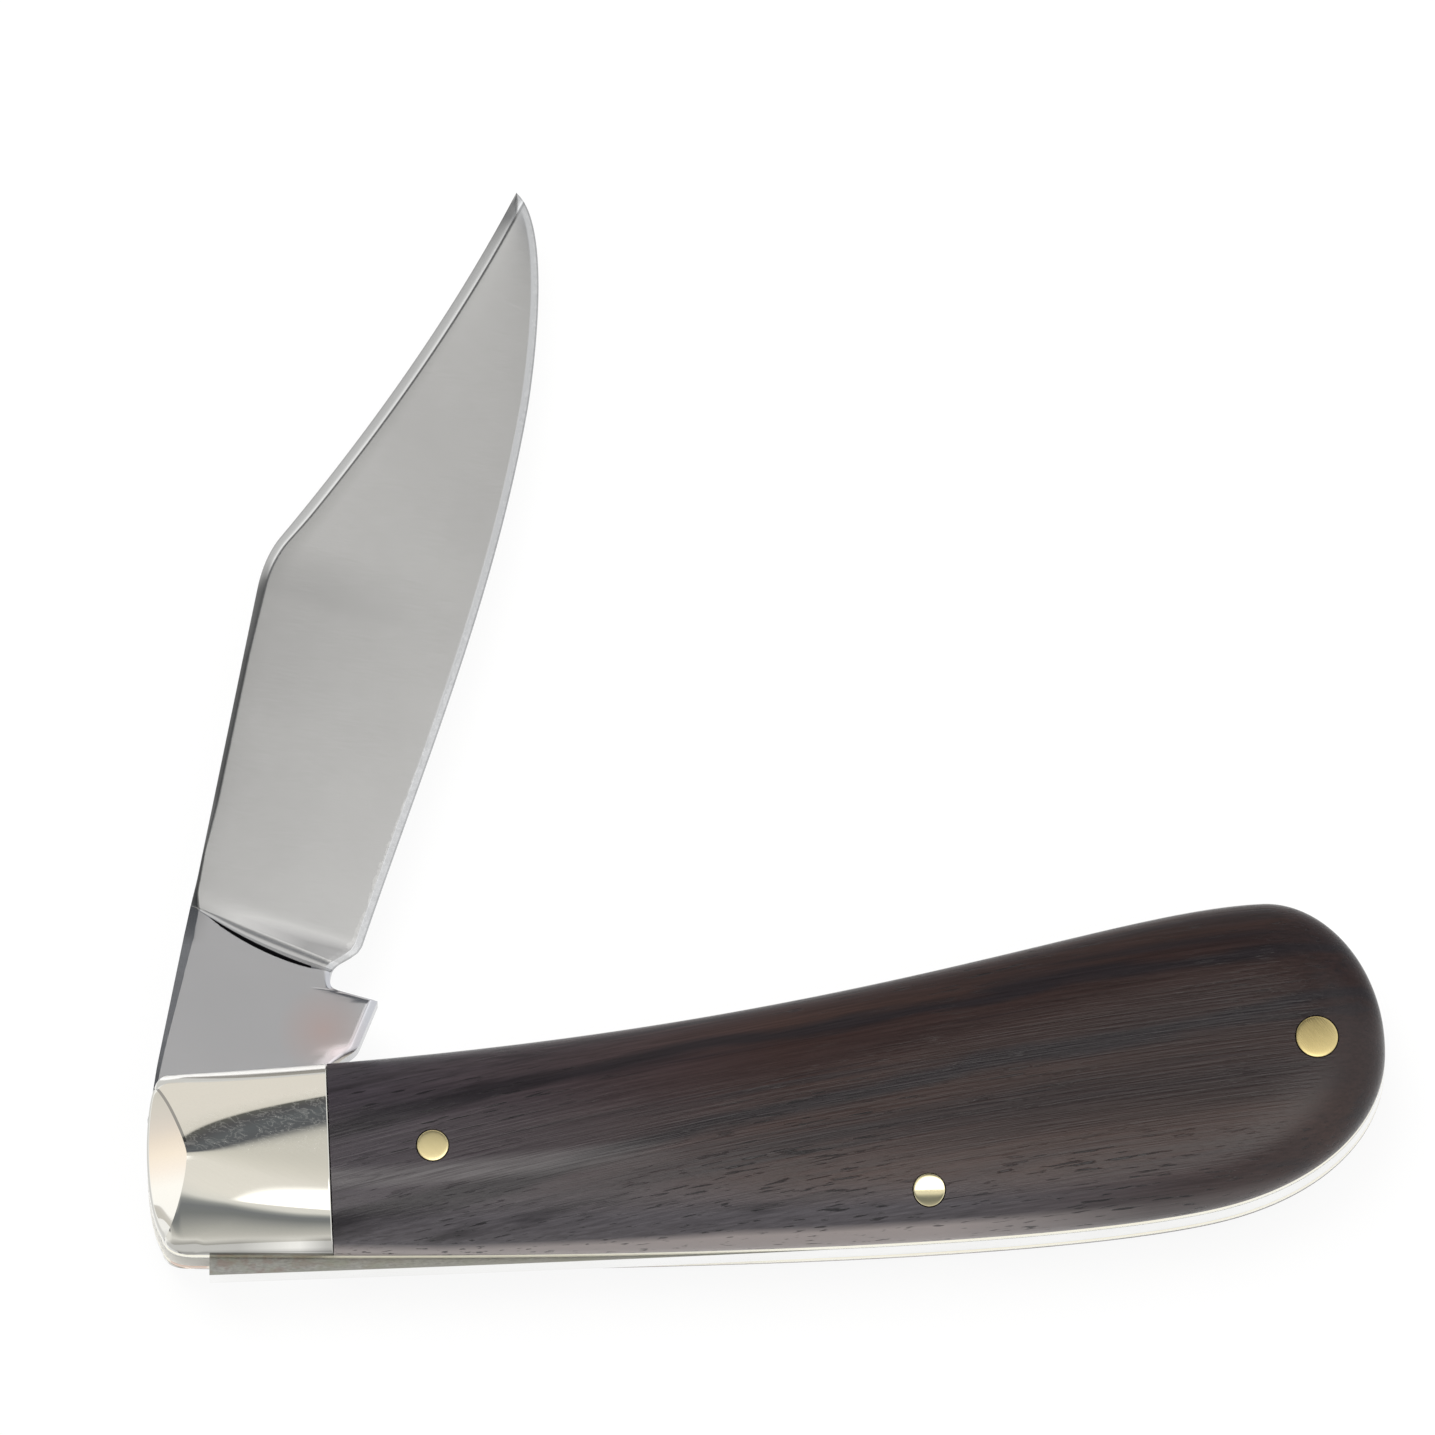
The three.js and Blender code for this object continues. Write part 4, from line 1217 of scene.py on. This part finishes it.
def plunge_rows(outline):
    """The end of the grind: a narrow groove at the shoulder, then the fillet down to the face."""
    across, width = plunge_section()
    shares = across / width
    ground = ground_half(across, width, PLUNGE_SPINE_X)
    at_spine, at_middle, at_edge = PLUNGE_REACH
    bow = 4 * at_middle - 2 * (at_spine + at_edge)
    reach = mix(at_spine, at_edge, shares) + bow * shares * (1 - shares)
    start, end = GROOVE_ENDS
    groove = np.sin(math.pi * np.clip((shares - start) / (end - start), 0, 1)) ** 0.5
    groove_width = 0.01 + GROOVE_WIDTH * groove
    drop = BLADE_HALF - ground

    def line(offset, half):
        spine_x, edge_x = PLUNGE_SPINE_X - offset, PLUNGE_EDGE_X - offset
        highs = np.column_stack([spine_x, np.interp(spine_x, SPINE[:, 0], SPINE[:, 1])])
        lows = np.column_stack([edge_x, np.interp(edge_x, EDGE[:, 0], EDGE[:, 1])])
        points = highs + shares[:, None] * (lows - highs)
        return np.column_stack([points, np.minimum(half, tang_half(points, outline))])

    rows = [
        line(reach + groove_width, BLADE_HALF),
        line(reach + groove_width / 2, BLADE_HALF - GROOVE_DEPTH * groove),
        line(reach, BLADE_HALF - 0.04 * groove),
    ]
    for share in np.linspace(1, 0, FILLET_STEPS + 1)[1:]:
        rows.append(line(reach * share, ground + fillet_rise(reach * share, reach, drop)))
    return rows


def nick_cutter():
    """The mark of a large thin disc with a tapered rim."""
    x, below, length, height, depth = NICK
    radius = (length ** 2 / 4 + depth ** 2) / (2 * depth)
    face = mix(float(spine_half(x)), SHOULDER_HALF, below / (SPINE_Y - BELLY[1]))
    top = SPINE_Y - below
    turns = np.linspace(0, 2 * math.pi, 360, endpoint=False)
    skin = Skin()
    rings = []
    for y, r in ((top, radius), (top - height, radius - depth)):
        center = depth - face - radius
        rings.append(np.column_stack([
            x + r * np.cos(turns), np.full(len(turns), y), center + r * np.sin(turns),
        ]))
    skin.grid(closed_rows(rings))
    for ring in rings:
        skin.add(ring, [list(range(len(ring)))])
    return skin.build("nick_disc", [steel], turn=REST_ANGLE)


def groove_columns():
    """The first and the last column of a row that lie in the groove."""
    across, width = plunge_section()
    inside = np.flatnonzero((across / width > GROOVE_ENDS[0]) & (across / width < GROOVE_ENDS[1]))
    return inside[0], inside[-1]


def blade():
    rows, slots = blade_rows()
    skin = Skin()
    for i in range(len(rows) - 1):
        slot = slots[i + 1]
        first, last = groove_columns() if slot == 1 else (0, rows.shape[1] - 1)
        for side in (1, -1):
            pair = rows[i:i + 2] * (1, 1, side)
            skin.grid(pair[:, first:last + 1], slot=slot)
            if slot == 1:
                skin.grid(pair[:, :first + 1], slot=2)
                skin.grid(pair[:, last:], slot=2)
    for k in (0, -1):
        line = rows[:, k]
        skin.wall(line * (1, 1, -1), line, closed=False)
    skin.wall(rows[-1] * (1, 1, -1), rows[-1], closed=False)
    obj = skin.build("knife_blade", [steel, groove_steel, tang_steel], turn=REST_ANGLE, sharp=20)
    hole = Skin()
    hole.plate([circle(0, 0, PIVOT_PIN[2] + PIVOT_FIT)], -2, 2)
    cut(obj, [hole.build("pivot_hole", [steel]), nick_cutter()], sharp=20)
    store_distances(obj)
    return obj


def store_distances(obj):
    """Keeps each point's distance from the spine, in crown widths, from the edge, and along."""
    points = np.array([vert.co[:2] for vert in obj.data.vertices]) / MM
    plan = np.column_stack(turned(points[:, 0], points[:, 1], -REST_ANGLE))
    crown = np.array([crown_width(x) for x in plan[:, 0]])
    values = {
        "crown_share": distance_to(plan, SPINE) / crown,
        "from_edge": distance_to(plan, EDGE),
        "along": plan[:, 0],
    }
    for name, value in values.items():
        stored = obj.data.attributes.new(name, "FLOAT", "POINT")
        stored.data.foreach_set("value", value.astype(np.float32))


def settle(piece, node_names, body="handle"):
    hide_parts(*node_names)
    if body:
        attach(piece, body)


for side in (1, -1):
    name = side_name(side)
    settle(liner(side), [f"{name}_liner"])
    rivets = [f"{name}_bolster_rivet_{k}" for k in (1, 2)]
    settle(bolster(side), [f"{name}_bolster", *rivets])
    settle(scale(side), [f"{name}_scale"])
    head = short_pin(f"{name}_scale_pin_brass", SCALE_PIN, brass, side)
    settle(head, [f"{name}_scale_pin"])
settle(pivot_rod(), ["pivot_pin"])
center_pin = through_pin("center_pin_brass", CENTER_PIN, painted_pale_brass, CENTER_CROWN)
settle(center_pin, ["center_spring_pin"])
settle(through_pin("end_pin_brass", END_PIN, painted_dark_brass), ["end_spring_pin"])
settle(blade(), ["blade"], "blade")

leaf = spring_leaf()
settle(leaf, ["backspring"], None)
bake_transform(leaf)


# Surroundings
WHITE = (2.3, 2.26, 2.2)
SIDE = (0.86, 0.85, 0.82)
DARK = (0.05, 0.055, 0.06)
# What the metal mirrors, by the degrees about x
BANDS = (
    (-84, (0.70, 0.69, 0.66)),
    (-77, (0.74, 0.73, 0.70)),
    (-66, (0.57, 0.56, 0.53)),
    (-52, (0.42, 0.42, 0.40)),
    (-43, (0.30, 0.305, 0.30)),
    (-37, (0.215, 0.225, 0.225)),
    (-31, (0.205, 0.215, 0.225)),
    (-27, (0.33, 0.34, 0.335)),
    (-22, (0.80, 0.79, 0.75)),
    (-15, (0.88, 0.85, 0.79)),
    (4, (0.85, 0.82, 0.76)),
    (10, (0.76, 0.735, 0.67)),
    (14, (0.68, 0.66, 0.60)),
    (15, (0.57, 0.555, 0.51)),
    (16.3, (0.50, 0.49, 0.46)),
    (17.3, (0.115, 0.12, 0.13)),
    (25, (0.125, 0.135, 0.145)),
    (32, (0.10, 0.10, 0.107)),
    (38.3, (0.13, 0.13, 0.12)),
    (39.5, (0.76, 0.73, 0.67)),
    (50, (0.84, 0.80, 0.74)),
)
# What the facet mirrors, low at the left
GLOW = [
    (0.0, (0.66, 0.64, 0.60)),
    (0.14, (0.74, 0.72, 0.69)),
    (0.19, (1.15, 1.14, 1.12)),
    (0.34, (1.2, 1.18, 1.14)),
    (0.43, (1.16, 1.06, 0.97)),
    (0.50, (1.12, 1.0, 0.87)),
    (0.57, (1.0, 0.89, 0.78)),
    (0.63, (0.88, 0.80, 0.73)),
    (0.70, (0.79, 0.74, 0.69)),
    (0.83, (0.72, 0.70, 0.65)),
]
FLOOR_SIZE = 900
FLOOR_GLOW = 1.02
FLOOR_GLOW_SHARE = 0.88
LAMP_SIZE = 0.5
LAMP_ENERGY = 3.5
LAMP_PLACE = (-0.15, 0.25, 0.8)
LAMP_AIM = (0.0, 0.02, 0)


def studio_world():
    """Soft bright surroundings with two dark strips, as a polished bolster mirrors them."""
    world = bpy.data.worlds.new("studio")
    bpy.context.scene.world = world
    world.use_nodes = True
    tree = world.node_tree
    tree.nodes.clear()
    x, y, z = coordinates(tree, "Generated").axes()
    degrees = calc("DEGREES", calc("ARCTAN2", y, z))
    shifted = degrees + degrees.span(-20, -26) * x.span(-0.16, -0.095, -3, 4)
    stops = [((angle + 180) / 360, color) for angle, color in BANDS]
    bands = ramp(shifted.span(-180, 180), stops)
    past = degrees - x.span(-0.2, 0.0, -0.2, 0.0) * 200.0
    bands = blend(degrees.span(-20.5, -18) * past.span(9.5, 5.5), bands, WHITE)
    bands = blend(x.span(0.2, 0.5), bands, (0.95, 0.95, 0.94))
    bands = blend(x.span(-0.26, -0.38), bands, SIDE)
    dark = z.span(0.40, 0.48) * z.span(0.95, 0.9) * y.span(0.48, 0.42) * x.span(-0.30, -0.42)
    bands = blend(dark * 0.95, bands, DARK)
    low_left = x.span(-0.7, -0.85) * z.span(0.45, 0.38)
    lit = blend(low_left, bands, ramp(y.span(0.0, 0.3), GLOW))
    rays = Value(add_node(tree, "LightPath"), "Is Camera Ray")
    seen = blend(rays, lit, (1, 1, 1))
    back = Value(add_node(tree, "Background", Color=seen, Strength=1.0))
    feed(add_node(tree, "OutputWorld").inputs[0], back)


def studio_floor():
    """A pale floor that stays white to the eye and in metal, and keeps a faint shadow."""
    corners = ((-1, -1), (1, -1), (1, 1), (-1, 1))
    skin = Skin()
    skin.add([(x * FLOOR_SIZE, y * FLOOR_SIZE, -MIDDLE_Z) for x, y in corners], [[0, 1, 2, 3]])
    finish = Finish("pale_floor")
    tree = finish.tree
    tree.nodes.remove(finish.shader)
    paper = Value(add_node(tree, "BsdfDiffuse", Color=(0.9, 0.9, 0.9, 1)))
    glow = Value(add_node(tree, "Emission", Color=(1, 1, 1, 1), Strength=FLOOR_GLOW))
    path = add_node(tree, "LightPath")
    rays = ("Camera", "Glossy", "Transmission")
    seen, glossy, through = (Value(path, f"Is {ray} Ray") for ray in rays)
    direct = calc("MAXIMUM", calc("MAXIMUM", seen, glossy), through)
    both = add_node(tree, "MixShader", i0=direct * FLOOR_GLOW_SHARE, i1=paper, i2=glow)
    feed(tree.nodes["Material Output"].inputs["Surface"], Value(both))
    floor = skin.build("floor", [finish])


def studio_lamp():
    lamp = bpy.data.lights.new("softbox", "AREA")
    lamp.shape = "DISK"
    lamp.size = LAMP_SIZE
    lamp.energy = LAMP_ENERGY
    obj = add_object("softbox", lamp)
    obj.location = LAMP_PLACE
    obj.rotation_euler = (Vector(LAMP_AIM) - obj.location).to_track_quat("-Z", "Y").to_euler()
    obj.visible_glossy = False


def photo_camera():
    data = bpy.data.cameras.new("camera")
    data.sensor_width = SENSOR
    data.lens = SENSOR * CAMERA_DISTANCE / VIEW_WIDTH
    data.clip_start = 0.01
    data.clip_end = 20
    camera = add_object("camera", data)
    away = Vector((0, -math.sin(CAMERA_TILT), math.cos(CAMERA_TILT)))
    camera.location = TARGET + away * CAMERA_DISTANCE
    camera.rotation_euler = (CAMERA_TILT, 0, 0)
    bpy.context.scene.camera = camera


studio_world()
studio_floor()
studio_lamp()
photo_camera()
bpy.context.scene.view_settings.view_transform = "Standard"
